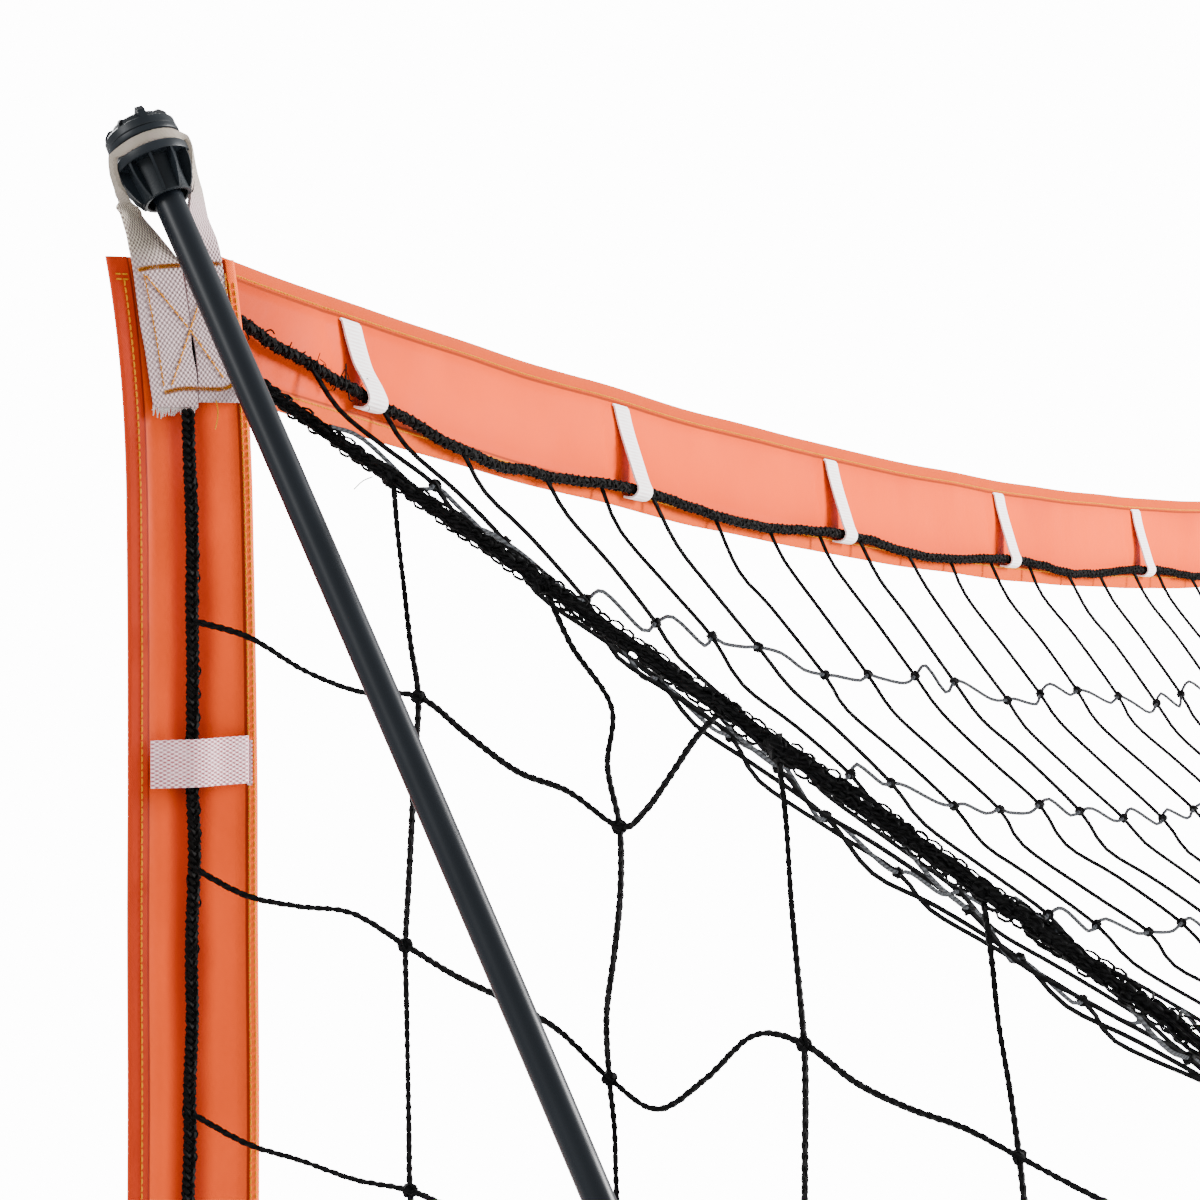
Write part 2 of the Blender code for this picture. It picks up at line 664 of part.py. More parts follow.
def rear_corner_webbing(side, label):
    """The loop on the rear tip, sewn to the net's rear corner."""
    axis = rear_axis()
    mouth = Vector((side_line_x(REAR_TIP_V), REAR_TIP_V, REAR_TIP_Z))
    neck = mouth + axis * (NECK_LOW + NECK_HIGH) / 2.0
    across = Vector((-math.sin(SPLAY), -math.cos(SPLAY), 0.0))
    out = Vector((-math.cos(SPLAY), math.sin(SPLAY), 0.0))
    face = REAR_CORNER - out * (SEAM_ROPE + 0.0030)

    def patch(sign):
        low = face + across * sign * (WEB_WIDTH / 2.0 + 0.0004)
        half_turn = (across * sign - out).normalized()
        half_face = (across * sign + out).normalized()
        turning = mouth + out * 0.0060 + across * sign * 0.0185
        return [
            (turning - Vector((0.0, 0.0, 0.0060)), half_turn, half_face, 0.0150),
            (low + Vector((0.0, 0.0, 0.010)), across * sign, out, WEB_WIDTH),
            (low - Vector((0.0, 0.0, 0.040)), across * sign, out, WEB_WIDTH),
        ]

    return corner_webbing("corner_webbing_rear_" + label, side, neck, axis, across, out, patch)


# Ground frame


def side_direction():
    """Unit direction back along the side bar, as x, v, z."""
    return Vector((math.sin(SPLAY), math.cos(SPLAY), 0.0))


CORNER = Vector((side_line_x(DEPTH), DEPTH, BAR_Z))
ELBOW_TANGENT = ELBOW_BEND * math.tan((math.pi - (math.pi / 2.0 - SPLAY)) / 2.0)
ALONG_REAR = Vector((-1.0, 0.0, 0.0))
ALONG_SIDE = -side_direction()
BUTTON_SETBACK = ELBOW_TANGENT + 0.040


def button_places(side):
    """The four snap buttons of one side, as a name and an x, v, z place on the bar's axis."""
    return (
        ("coupler_middle", Vector((COUPLER_X - 0.045, DEPTH, BAR_Z))),
        ("coupler_outer", Vector((COUPLER_X + 0.045, DEPTH, BAR_Z))),
        ("elbow_rear", CORNER + ALONG_REAR * BUTTON_SETBACK),
        ("elbow_side", CORNER + ALONG_SIDE * BUTTON_SETBACK),
    )


def drill(target, name, spot, radius):
    """Cut an upright hole from a tube's axis out through its upper wall."""
    matrix = Matrix.Translation(spot)
    profile = [(0.0, 0.0), (radius, 0.0), (radius, 0.03), (0.0, 0.03)]
    combine(target, turned(name, profile, matrix, None, sides=12), "DIFFERENCE")


def snap_button(side, label, which, spot):
    """A sprung button: a round head through the tube's wall and a flange inside it."""
    head = SLEEVE_RADIUS + BUTTON_PROUD
    shelf = math.sqrt((BAR_RADIUS - BAR_WALL) ** 2 - BUTTON_FLANGE ** 2) * 0.95
    profile = [(0.0, shelf - 0.0020), (BUTTON_FLANGE, shelf - 0.0020), (BUTTON_FLANGE, shelf)]
    profile += [(BUTTON_RADIUS, shelf), (BUTTON_RADIUS, head - 0.0016)]
    profile += [(BUTTON_RADIUS * 0.75, head - 0.0005), (0.0, head)]
    turned("snap_button_" + which + "_" + label, profile, Matrix.Translation(spot), "bright_steel", sides=12)


def ground_frame():
    """The rear bar in three parts, two side bars, couplers, elbows and snap buttons."""
    hole = BUTTON_RADIUS + GAP
    bore = BAR_RADIUS - BAR_WALL
    wide = BAR_RADIUS + GAP
    middle_end = COUPLER_X - GAP
    rear = MOUTH_Y + DEPTH
    middle_bar = pipe("rear_bar_middle", [Vector((x, rear, BAR_Z)) for x in (-middle_end, 0.0, middle_end)],
                      BAR_RADIUS, bore, "black_steel")
    for side, label in SIDE_NAMES:
        stop = CORNER + ALONG_REAR * (ELBOW_TANGENT + 0.004)
        start = Vector((COUPLER_X + GAP, DEPTH, BAR_Z))
        rear_bar = pipe("rear_bar_" + label, [world(side, p) for p in (start, (start + stop) / 2.0, stop)],
                        BAR_RADIUS, bore, "black_steel")
        start = Vector((side_line_x(0.0), 0.0, BAR_Z)) + side_direction() * -0.030
        stop = CORNER + ALONG_SIDE * (ELBOW_TANGENT + 0.004)
        side_bar = pipe("side_bar_" + label, [world(side, p) for p in (start, (start + stop) / 2.0, stop)],
                        BAR_RADIUS, bore, "black_steel")
        ends = [Vector((COUPLER_X + shift, DEPTH, BAR_Z)) for shift in (-COUPLER_HALF, 0.0, COUPLER_HALF)]
        coupler = pipe("rear_coupler_" + label, [world(side, p) for p in ends],
                       SLEEVE_RADIUS, wide, "black_steel")
        elbow = pipe("rear_elbow_" + label, [world(side, p) for p in elbow_path()],
                     SLEEVE_RADIUS, wide, "black_steel")
        holders = {
            "coupler_middle": (middle_bar, coupler),
            "coupler_outer": (rear_bar, coupler),
            "elbow_rear": (rear_bar, elbow),
            "elbow_side": (side_bar, elbow),
        }
        for which, spot in button_places(side):
            at = world(side, spot)
            for holder in holders[which]:
                drill(holder, "hole_" + which + "_" + holder.name, at, hole)
            snap_button(side, label, which, at)


def elbow_path():
    """The elbow's axis: a straight grip, a round bend and a straight grip, as x, v, z."""
    first = CORNER + ALONG_REAR * ELBOW_TANGENT
    last = CORNER + ALONG_SIDE * ELBOW_TANGENT
    inward = (ALONG_REAR + ALONG_SIDE).normalized()
    centre = CORNER + inward * math.hypot(ELBOW_TANGENT, ELBOW_BEND)
    start_arm = first - centre
    end_arm = last - centre
    sweep = start_arm.angle(end_arm)
    points = [first + ALONG_REAR * ELBOW_GRIP]
    for k in range(6):
        share = k / 5.0
        arm = start_arm * math.sin((1.0 - share) * sweep) + end_arm * math.sin(share * sweep)
        points.append(centre + arm / math.sin(sweep))
    points.append(last + ALONG_SIDE * ELBOW_GRIP)
    return points


def front_foot(side, label):
    """The block on a side bar's front end, with a staple for the band's foot webbing."""
    block = box("front_foot_" + label, (-FOOT_HALF, -FOOT_REACH, 0.0), (FOOT_HALF, 0.040, FOOT_HEIGHT),
                "black_plastic", Matrix.Translation(place(side, MOUTH_HALF, 0.0, 0.0)))
    edges = block.modifiers.new("rounded_edges", "BEVEL")
    edges.width = 0.004
    edges.segments = 2
    edges.limit_method = "ANGLE"
    back = world_axis(side, side_direction())
    start = place(side, MOUTH_HALF, 0.0, BAR_Z) - back * (0.030 + GAP)
    cutter = tube("foot_bore_" + label, [start, start + back * 0.15], BAR_RADIUS + GAP, None)
    combine(block, cutter, "DIFFERENCE")
    across = post_point(side, 1.0, 0.0, 0.5) - post_point(side, 0.0, 0.0, 0.5)
    foot = place(side, MOUTH_HALF, POST_V, FOOT_HEIGHT)
    low = Vector((0.0, 0.0, -0.004))
    high = Vector((0.0, 0.0, STAPLE_RISE))
    reach = STAPLE_HALF * 0.80
    soft = 0.008
    path = [foot - across * reach + low, foot - across * reach + high * 0.72]
    path += [foot - across * (reach - soft * 0.4) + high * 0.93, foot - across * (reach - soft) + high]
    path += [foot + across * (reach - soft) + high, foot + across * (reach - soft * 0.4) + high * 0.93]
    path += [foot + across * reach + high * 0.72, foot + across * reach + low]
    out = post_point(side, 0.0, 1.0, 0.5) - post_point(side, 0.0, 0.0, 0.5)
    combine(block, tube("staple_" + label, path, STAPLE_RADIUS, None, sides=8, up=out), "UNION")


def foot_webbing(side, label):
    """The webbing ring that ties an upright band's foot to the staple."""
    top = POST_FOOT_Z - GAP
    low = FOOT_HEIGHT + STAPLE_RISE - STAPLE_RADIUS - GAP - 0.0008
    out_low = STAPLE_RADIUS + GAP + 0.0008
    stations = []
    outline = [(0.0, top - 0.0010), (out_low * 0.4, top - 0.002), (out_low * 0.6, top - 0.010)]
    outline += [(out_low, low + 0.014), (out_low, low + 0.004), (out_low * 0.6, low - 0.0004)]
    outline += [(0.0, low - 0.0010)]
    outline += [(-n, z) for n, z in reversed(outline[1:-1])]
    along = post_point(side, 1.0, 0.0, 0.5) - post_point(side, 0.0, 0.0, 0.5)
    middle = Vector((0.0, (top + low) / 2.0))
    for n, z in outline:
        away = Vector((n, z)) - middle
        away.x *= 4.0
        away.normalize()
        face = (post_point(side, 0.0, away.x, 0.5) - post_point(side, 0.0, 0.0, 0.5))
        face += Vector((0.0, 0.0, away.y))
        stations.append((post_point(side, 0.0, n, z), along, face, 0.040))
    mesh_data = bmesh.new()
    skin(mesh_data, strip_rings(stations, 0.0014), closed=True)
    return piece("foot_webbing_" + label, mesh_data, "grey_webbing", post_point(side, 0.0, 0.0, low))


def socket_block(side, label):
    """The block on a side bar that holds the feet of the front pole and the rear pole."""
    turn = Matrix.Rotation(-side * SPLAY, 4, "Z")
    origin = world(side, Vector((BOW_FOOT.x, BOW_FOOT.y, 0.0)))
    frame = Matrix.Translation(origin) @ turn
    block = box("socket_block_" + label, (-BLOCK_HALF, -0.045, 0.0),
                (BLOCK_HALF, REAR_SOCKET_STEP + 0.030, BLOCK_HEIGHT), "black_plastic", frame)
    edges = block.modifiers.new("rounded_edges", "BEVEL")
    edges.width = 0.004
    edges.segments = 2
    edges.limit_method = "ANGLE"
    front_way = world_axis(side, BOW_FOOT_AXIS)
    rear_way = world_axis(side, rear_axis())
    front_low = world(side, BOW_FOOT)
    rear_low = world(side, Vector((side_line_x(REAR_FOOT_V), REAR_FOOT_V, POLE_FOOT_Z)))
    ways = ((front_low, front_way, "front"), (rear_low, rear_way, "rear"))
    for low, way, where in ways:
        start = low - way * 0.012
        socket = tube("socket_" + where + "_" + label, [start, start + way * SOCKET_LENGTH],
                      SOCKET_RADIUS, None, up=Vector((0.0, 1.0, 0.0)))
        combine(block, socket, "UNION")
    for low, way, where in ways:
        bore = tube("socket_bore_" + where + "_" + label, [low - way * GAP, low + way * (SOCKET_LENGTH + 0.05)],
                    POLE_RADIUS + 2.0 * GAP, None, up=Vector((0.0, 1.0, 0.0)))
        combine(block, bore, "DIFFERENCE")
    back = world_axis(side, side_direction())
    axis_start = world(side, Vector((BOW_FOOT.x, BOW_FOOT.y, BAR_Z))) - back * 0.3
    through = tube("bar_bore_" + label, [axis_start, axis_start + back * 0.7], BAR_RADIUS + GAP, None)
    combine(block, through, "DIFFERENCE")


# Ropes and nets


def crossbar_rope_point(x):
    """World point on the crossbar's edge rope."""
    return Vector((x, MOUTH_Y + ROPE_OUT, crossbar_top(x) - rope_drop(x)))


def crossbar_rope():
    """The rope behind the crossbar band, through its belt loops."""
    reach = MOUTH_HALF - 0.045
    coarse = 20
    fine = 7
    half = ROPE_RISE_X - 0.05
    places = [half * (2.0 * k / coarse - 1.0) for k in range(coarse + 1)]
    climb = [half + (reach - half) * (k + 1.0) / fine for k in range(fine)]
    places = [-x for x in reversed(climb)] + places + climb
    path = [crossbar_rope_point(x) for x in places]
    tube("crossbar_rope", path, EDGE_ROPE, "black_rope", sides=8)


def post_rope_point(side, z):
    """World point on an upright band's edge rope."""
    return post_point(side, 0.0, ROPE_OUT, z)


def post_rope(side, label):
    """The rope behind an upright band, through its belt loops."""
    path = [post_rope_point(side, z) for z in [POST_FOOT_Z + 0.005] + POST_HEIGHTS[1:-3]]
    path.append(post_rope_point(side, POST_TOP - 0.080))
    tube("post_rope_" + label, path, EDGE_ROPE, "black_rope", sides=8, up=Vector((0.0, 1.0, 0.0)))


def rear_seam_end():
    """x, v, z where the rear seam reaches the ground frame."""
    v = DEPTH - 0.060
    return Vector((side_line_x(v, NET_INSET + 0.004), v, 0.060))


def seam_rope(side, label):
    """The rope bundle from the mouth's corner back to the rear corner and down to the ground."""
    start = 0.038
    path = [world(side, seam_point(start + (REAR_CORNER_V - start) * k / 7.0)) for k in range(8)]
    low = rear_seam_end()
    corner = REAR_CORNER
    path[-1] = world(side, seam_point(REAR_CORNER_V - 0.012))
    path.append(world(side, corner + Vector((0.0, 0.006, -0.016))))
    for k in range(1, 6):
        share = k / 5.0
        path.append(world(side, corner.lerp(low, 0.02 + 0.98 * share)))
    tube("seam_rope_" + label, path, SEAM_ROPE, "black_rope", sides=8, up=Vector((1.0, 0.0, 0.0)))


def rear_top_point(x_share):
    """World point on the rope between the rear corners, for a share of its half length."""
    half = REAR_CORNER.x - SEAM_ROPE - REAR_ROPE - 0.004
    z = REAR_CORNER.z - REAR_SAG * (1.0 - x_share * x_share)
    return Vector((half * x_share, MOUTH_Y + REAR_CORNER_V, z))


def rear_top_rope():
    """The rope along the net's rear top edge."""
    steps = 20
    path = [rear_top_point(2.0 * k / steps - 1.0) for k in range(steps + 1)]
    tube("rear_top_rope", path, REAR_ROPE, "black_rope", sides=8)


BOTTOM_ROPE_Z = BAR_Z + 0.008


def bottom_rope():
    """The rope along the net's ground edge: one side, across the back and the other side."""
    back_v = DEPTH - NET_INSET
    corner_x = side_line_x(back_v, NET_INSET)
    cut = 0.022
    half = [Vector((side_line_x(0.075, NET_INSET), 0.075, BOTTOM_ROPE_Z))]
    for v in (0.4, 0.75, back_v - 0.15, back_v - cut):
        half.append(Vector((side_line_x(v, NET_INSET), v, BOTTOM_ROPE_Z)))
    half.append(Vector((corner_x - cut * 0.2, back_v - cut * 0.25, BOTTOM_ROPE_Z)))
    half.append(Vector((corner_x - cut, back_v, BOTTOM_ROPE_Z)))
    half.append(Vector((corner_x - 0.3, back_v, BOTTOM_ROPE_Z)))
    path = [world(1.0, point) for point in half]
    path.append(place(1.0, 0.0, back_v, BOTTOM_ROPE_Z))
    path += [world(-1.0, point) for point in reversed(half)]
    tube("bottom_rope", path, BOTTOM_ROPE, "black_rope", sides=8)


def tie_strap(name, x):
    """A strap round the rear bar and the bottom rope."""
    bar = Vector((0.0, BAR_Z))
    rope = Vector((-NET_INSET, BOTTOM_ROPE_Z))
    bar_out = BAR_RADIUS + 0.0007 + TIE_THICKNESS / 2.0
    rope_out = BOTTOM_ROPE + 0.0008 + TIE_THICKNESS / 2.0
    reach = rope - bar
    base = math.atan2(reach.y, reach.x)
    spread = math.acos((bar_out - rope_out) / reach.length)
    arcs = ((bar, bar_out, base + spread - TURN, base - spread), (rope, rope_out, base - spread, base + spread))
    outline = []
    for centre, radius, first, last in arcs:
        for k in range(8):
            angle = first + (last - first) * k / 7.0
            out = Vector((math.cos(angle), math.sin(angle)))
            outline.append((centre + out * radius, out))
    stations = []
    for point, out in outline:
        middle = Vector((x, MOUTH_Y + DEPTH + point.x, point.y))
        stations.append((middle, Vector((1.0, 0.0, 0.0)), Vector((0.0, out.x, out.y)), TIE_WIDTH))
    mesh_data = bmesh.new()
    skin(mesh_data, strip_rings(stations, TIE_THICKNESS), closed=True)
    piece(name, mesh_data, "grey_webbing", Vector((x, MOUTH_Y + DEPTH, BAR_Z)))


def net_panel(name, point, columns, rows):
    """A net as one solid: cords of a flat section along a grid, with an opening in each mesh.

    point(u, w) gives the net's middle surface for shares of its width and of its height.
    """
    wide = (point(1.0, 0.5) - point(0.0, 0.5)).length
    tall = (point(0.5, 1.0) - point(0.5, 0.0)).length

    def lines(count, length):
        half = NET_STRAND / 2.0 / length
        found = []
        for k in range(count + 1):
            middle = half + (1.0 - 2.0 * half) * k / count
            found += [middle - half, middle + half]
        return found

    across, down = lines(columns, wide), lines(rows, tall)
    mesh_data = bmesh.new()
    layers = []
    for sign in (-0.5, 0.5):
        grid = []
        for u in across:
            column = []
            for w in down:
                nearby = 0.002
                along_u = point(min(u + nearby, 1.0), w) - point(max(u - nearby, 0.0), w)
                along_w = point(u, min(w + nearby, 1.0)) - point(u, max(w - nearby, 0.0))
                face = along_u.cross(along_w).normalized()
                column.append(mesh_data.verts.new(point(u, w) + face * NET_THICKNESS * sign))
            grid.append(column)
        layers.append(grid)

    def open_mesh(i, j):
        outside = not (0 <= i < len(across) - 1 and 0 <= j < len(down) - 1)
        return outside or (i % 2 == 1 and j % 2 == 1)

    low, high = layers
    for i in range(len(across) - 1):
        for j in range(len(down) - 1):
            if open_mesh(i, j):
                continue
            for grid in layers:
                mesh_data.faces.new((grid[i][j], grid[i + 1][j], grid[i + 1][j + 1], grid[i][j + 1]))
            walls = (((i, j), (i + 1, j), (i, j - 1)), ((i, j + 1), (i + 1, j + 1), (i, j + 1)),
                     ((i, j), (i, j + 1), (i - 1, j)), ((i + 1, j), (i + 1, j + 1), (i + 1, j)))
            for (a, b), (c, d), (beside_i, beside_j) in walls:
                if open_mesh(beside_i, beside_j):
                    mesh_data.faces.new((low[a][b], low[c][d], high[c][d], high[a][b]))
    middle = point(0.5, 0.5)
    return piece(name, mesh_data, "black_twine", middle)


def roof_net():
    """The sloping net from the crossbar rope back to the rear top rope."""
    front_half = MOUTH_HALF - 0.060
    rear_half = REAR_CORNER.x - SEAM_ROPE - NET_CLEAR - 0.004

    def point(u, w):
        share = 2.0 * u - 1.0
        front = crossbar_rope_point(front_half * share) + Vector((0.0, NET_CLEAR, -0.004))
        rear = rear_top_point(share)
        rear.x = rear_half * share
        rear += Vector((0.0, -NET_CLEAR, 0.004))
        droop = ROOF_DROOP * math.sin(math.pi * w ** ROOF_DROOP_FRONT) * (1.0 - abs(share) ** ROOF_DROOP_EDGE)
        return front.lerp(rear, w) - Vector((0.0, 0.0, droop))

    net_panel("roof_net", point, 15, 6)


def back_net():
    """The steep net from the rear top rope down to the bottom rope."""
    top_half = REAR_CORNER.x - SEAM_ROPE - NET_CLEAR - 0.004
    low_half = rear_seam_end().x - SEAM_ROPE - NET_CLEAR - 0.004

    def point(u, w):
        share = 2.0 * u - 1.0
        top = rear_top_point(share)
        top.x = top_half * share
        top += Vector((0.0, 0.003, -NET_CLEAR))
        low = Vector((low_half * share, MOUTH_Y + DEPTH - NET_INSET, BOTTOM_ROPE_Z + NET_CLEAR))
        return top.lerp(low, w)

    net_panel("back_net", point, 16, 4)


def side_net(side, label):
    """The net between upright band, seam, rear seam and side bar."""
    low_rear = rear_seam_end()

    def front_edge(w):
        z = (BOTTOM_ROPE_Z + NET_CLEAR) + (SEAM_START_Z - 0.045 - BOTTOM_ROPE_Z - NET_CLEAR) * (1.0 - w)
        inside = Vector((side_line_x(0.045, NET_INSET), 0.045, z))
        return world(side, inside)

    def rear_edge(w):
        top = REAR_CORNER + Vector((0.0, -0.030, -0.028))
        low = Vector((low_rear.x, low_rear.y - 0.024, BOTTOM_ROPE_Z + NET_CLEAR))
        low.x = side_line_x(low.y, NET_INSET)
        top.x = side_line_x(top.y, NET_INSET)
        return world(side, top.lerp(low, w))

    def point(u, w):
        return front_edge(w).lerp(rear_edge(w), u)

    net_panel("side_net_" + label, point, 4, 6)


def build():
    """Make the whole goal."""
    clear_scene()
    goal = bpy.data.objects.new("goal", None)
    bpy.context.collection.objects.link(goal)
    ground_frame()
    crossbar_band()
    crossbar_rope()
    rear_top_rope()
    bottom_rope()
    roof_net()
    back_net()
    for number, x in enumerate((-1.35, 0.0, 1.35), start=1):
        tie_strap("tie_strap_%d" % number, x)
    for side, label in SIDE_NAMES:
        front_foot(side, label)
        foot_webbing(side, label)
        socket_block(side, label)
        front_pole(side, label)
        rear_pole(side, label)
        tip_fitting("front", label, side, Vector(TIP_MOUTH), towards_tip(POLE_LEAN))
        rear_mouth = Vector((side_line_x(REAR_TIP_V), REAR_TIP_V, REAR_TIP_Z))
        tip_fitting("rear", label, side, rear_mouth, rear_axis())
        front_corner_webbing(side, label)
        rear_corner_webbing(side, label)
        post_band(side, label)
        post_rope(side, label)
        seam_rope(side, label)
        side_net(side, label)


build()
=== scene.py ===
"""The portable soccer goal as it looks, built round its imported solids.

Places are worked out like in the solids: x along the crossbar, v behind the mouth plane and z up,
for the side where x is positive, and then mirrored.
"""

import json
import logging
import math
import random
from dataclasses import dataclass, field
from enum import Enum
from typing import Callable, Optional, Sequence, Union

import bpy
from mathutils import Matrix, Vector, noise


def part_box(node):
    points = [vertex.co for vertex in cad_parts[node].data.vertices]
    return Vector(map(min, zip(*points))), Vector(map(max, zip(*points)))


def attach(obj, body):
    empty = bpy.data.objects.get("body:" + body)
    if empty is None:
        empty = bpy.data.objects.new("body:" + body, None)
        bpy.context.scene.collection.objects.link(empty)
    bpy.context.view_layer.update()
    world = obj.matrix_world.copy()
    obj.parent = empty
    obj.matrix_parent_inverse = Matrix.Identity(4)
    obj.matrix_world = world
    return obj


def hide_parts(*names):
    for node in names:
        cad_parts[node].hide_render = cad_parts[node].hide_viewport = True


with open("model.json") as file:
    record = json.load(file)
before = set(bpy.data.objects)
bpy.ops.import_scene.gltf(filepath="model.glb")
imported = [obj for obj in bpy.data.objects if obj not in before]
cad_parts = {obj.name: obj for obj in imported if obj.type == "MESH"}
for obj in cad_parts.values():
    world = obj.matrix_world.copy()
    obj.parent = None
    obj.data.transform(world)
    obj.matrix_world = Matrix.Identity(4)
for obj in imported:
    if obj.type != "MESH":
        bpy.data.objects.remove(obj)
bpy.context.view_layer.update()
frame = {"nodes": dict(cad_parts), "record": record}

LOG = logging.getLogger("goal")
TURN = 2.0 * math.pi
UP = Vector((0.0, 0.0, 1.0))
Number = Union[int, float]
Colour = tuple[float, float, float]
Station = tuple[Vector, Vector, Vector, float]
Outline = Sequence[tuple[float, float]]
Surface = Callable[[float, float, float], Vector]
Frame = tuple[Vector, Vector, Vector, float]


class Side(Enum):
    """The two sides of the goal, with the sign of their x."""

    RIGHT = 1.0
    LEFT = -1.0

    @property
    def label(self) -> str:
        """The side's word in the names of pieces and nodes."""
        return self.name.lower()


class Slot(Enum):
    """The record's material slots."""

    STEEL = "black_steel"
    PLASTIC = "black_plastic"
    POLE = "black_pole"
    BRIGHT = "bright_steel"
    BAND = "orange_band"
    WEBBING = "grey_webbing"
    ROPE = "black_rope"
    TWINE = "black_twine"


# Shader expressions


def scaled(colour: Colour, factor: float) -> Colour:
    """A colour made lighter or darker."""
    return tuple(channel * factor for channel in colour)


def opaque(colour: Colour) -> tuple[float, float, float, float]:
    """A colour as a shader takes it."""
    return (*colour, 1.0)


class Value:
    """A shader socket that can be used in ordinary arithmetic."""

    def __init__(self, graph: "Graph", socket: bpy.types.NodeSocket) -> None:
        """Wrap a socket of a graph."""
        self.graph = graph
        self.socket = socket

    def _math(self, operation: str, *others: Union["Value", Number], flip: bool = False) -> "Value":
        """Add one Math node.

        Args:
            operation: Blender's name for the Math node's operation.
            others: the further operands.
            flip: put this value after the first other one.

        Returns:
            The node's result.
        """
        operands: list[Union[Value, Number]] = [self, *others]
        if flip:
            operands[0], operands[1] = operands[1], operands[0]
        made = self.graph.node("ShaderNodeMath", {"operation": operation}, dict(enumerate(operands)))
        return Value(self.graph, made.outputs[0])

    def __add__(self, other: Union["Value", Number]) -> "Value":
        """Sum."""
        return self._math("ADD", other)

    __radd__ = __add__

    def __sub__(self, other: Union["Value", Number]) -> "Value":
        """Difference."""
        return self._math("SUBTRACT", other)

    def __rsub__(self, other: Number) -> "Value":
        """Difference from a number."""
        return self._math("SUBTRACT", other, flip=True)

    def __mul__(self, other: Union["Value", Number]) -> "Value":
        """Product."""
        return self._math("MULTIPLY", other)

    __rmul__ = __mul__

    def __truediv__(self, other: Union["Value", Number]) -> "Value":
        """Quotient."""
        return self._math("DIVIDE", other)

    def wave(self) -> "Value":
        """Sine of the value."""
        return self._math("SINE")

    def size(self) -> "Value":
        """The value without its sign."""
        return self._math("ABSOLUTE")

    def power(self, exponent: Number) -> "Value":
        """The value to a power."""
        return self._math("POWER", exponent)

    def above(self, edge: Number, softness: Number) -> "Value":
        """A mask that rises from 0 to 1 across an edge.

        Args:
            edge: where the mask is one half.
            softness: the width over which it rises.

        Returns:
            The mask.
        """
        made = self.graph.node(
            "ShaderNodeMapRange",
            {"interpolation_type": "SMOOTHSTEP"},
            {"Value": self, "From Min": edge - softness / 2.0, "From Max": edge + softness / 2.0},
        )
        return Value(self.graph, made.outputs["Result"])


class Graph:
    """One material's nodes."""

    def __init__(self, name: str) -> None:
        """Start an empty material with a Principled shader."""
        self.material = bpy.data.materials.new(name)
        self.material.use_nodes = True
        self.tree = self.material.node_tree
        self.shader = self.tree.nodes["Principled BSDF"]

    def node(self, kind: str, settings: dict[str, object], values: dict) -> bpy.types.Node:
        """Add a node.

        Args:
            kind: the node's type.
            settings: its own settings, set first.
            values: a number, colour or link for each socket, by the socket's name or number.

        Returns:
            The node.
        """
        made = self.tree.nodes.new(kind)
        for name, setting in settings.items():
            setattr(made, name, setting)
        for key, value in values.items():
            self.feed(made.inputs[key], value)
        return made

    def feed(self, socket: bpy.types.NodeSocket, value: object) -> None:
        """Link a value to a socket, or set a constant on it."""
        if isinstance(value, Value):
            self.tree.links.new(value.socket, socket)
        elif isinstance(value, bpy.types.NodeSocket):
            self.tree.links.new(value, socket)
        else:
            socket.default_value = value

    def coordinates(self, kind: str) -> bpy.types.NodeSocket:
        """Texture coordinates of a kind, in metres."""
        return self.node("ShaderNodeTexCoord", {}, {}).outputs[kind]

    def along_and_across(self) -> tuple[Value, Value]:
        """The piece's texture map: metres along it and metres across it."""
        parts = self.node("ShaderNodeSeparateXYZ", {}, {0: self.coordinates("UV")})
        return Value(self, parts.outputs[0]), Value(self, parts.outputs[1])

    def noise(self, scale: float, detail: float = 2.0) -> Value:
        """Cloudy noise from 0 to 1.

        Args:
            scale: patches for each metre.
            detail: how many finer layers it has.

        Returns:
            The noise.
        """
        values = {"Vector": self.coordinates("Object"), "Scale": scale, "Detail": detail}
        return Value(self, self.node("ShaderNodeTexNoise", {}, values).outputs["Fac"])

    def blend(self, share: Value, low: Sequence[float], high: Sequence[float]) -> bpy.types.NodeSocket:
        """A colour between two, for a share from 0 to 1."""
        return self.mix(share, opaque(low), opaque(high))

    def mix(self, share: Value, low: object, high: object) -> bpy.types.NodeSocket:
        """A colour between two colours or links, for a share from 0 to 1."""
        made = self.node("ShaderNodeMix", {"data_type": "RGBA"}, {"Factor": share})
        colours = [s for s in made.inputs if s.type == "RGBA"]
        self.feed(colours[0], low)
        self.feed(colours[1], high)
        return next(s for s in made.outputs if s.type == "RGBA")

    def relief(self, height: Value, distance: float, strength: float) -> None:
        """Feed the shader's normal from a height map, in metres for a height of 1."""
        made = self.node("ShaderNodeBump", {}, {"Height": height, "Distance": distance, "Strength": strength})
        self.feed(self.shader.inputs["Normal"], made.outputs[0])

    def shade(self, **values: object) -> None:
        """Set or link the shader's own sockets, by their names with underscores."""
        for name, value in values.items():
            self.feed(self.shader.inputs[name.replace("_", " ").title().replace("Ior", "IOR")], value)


# Finishes


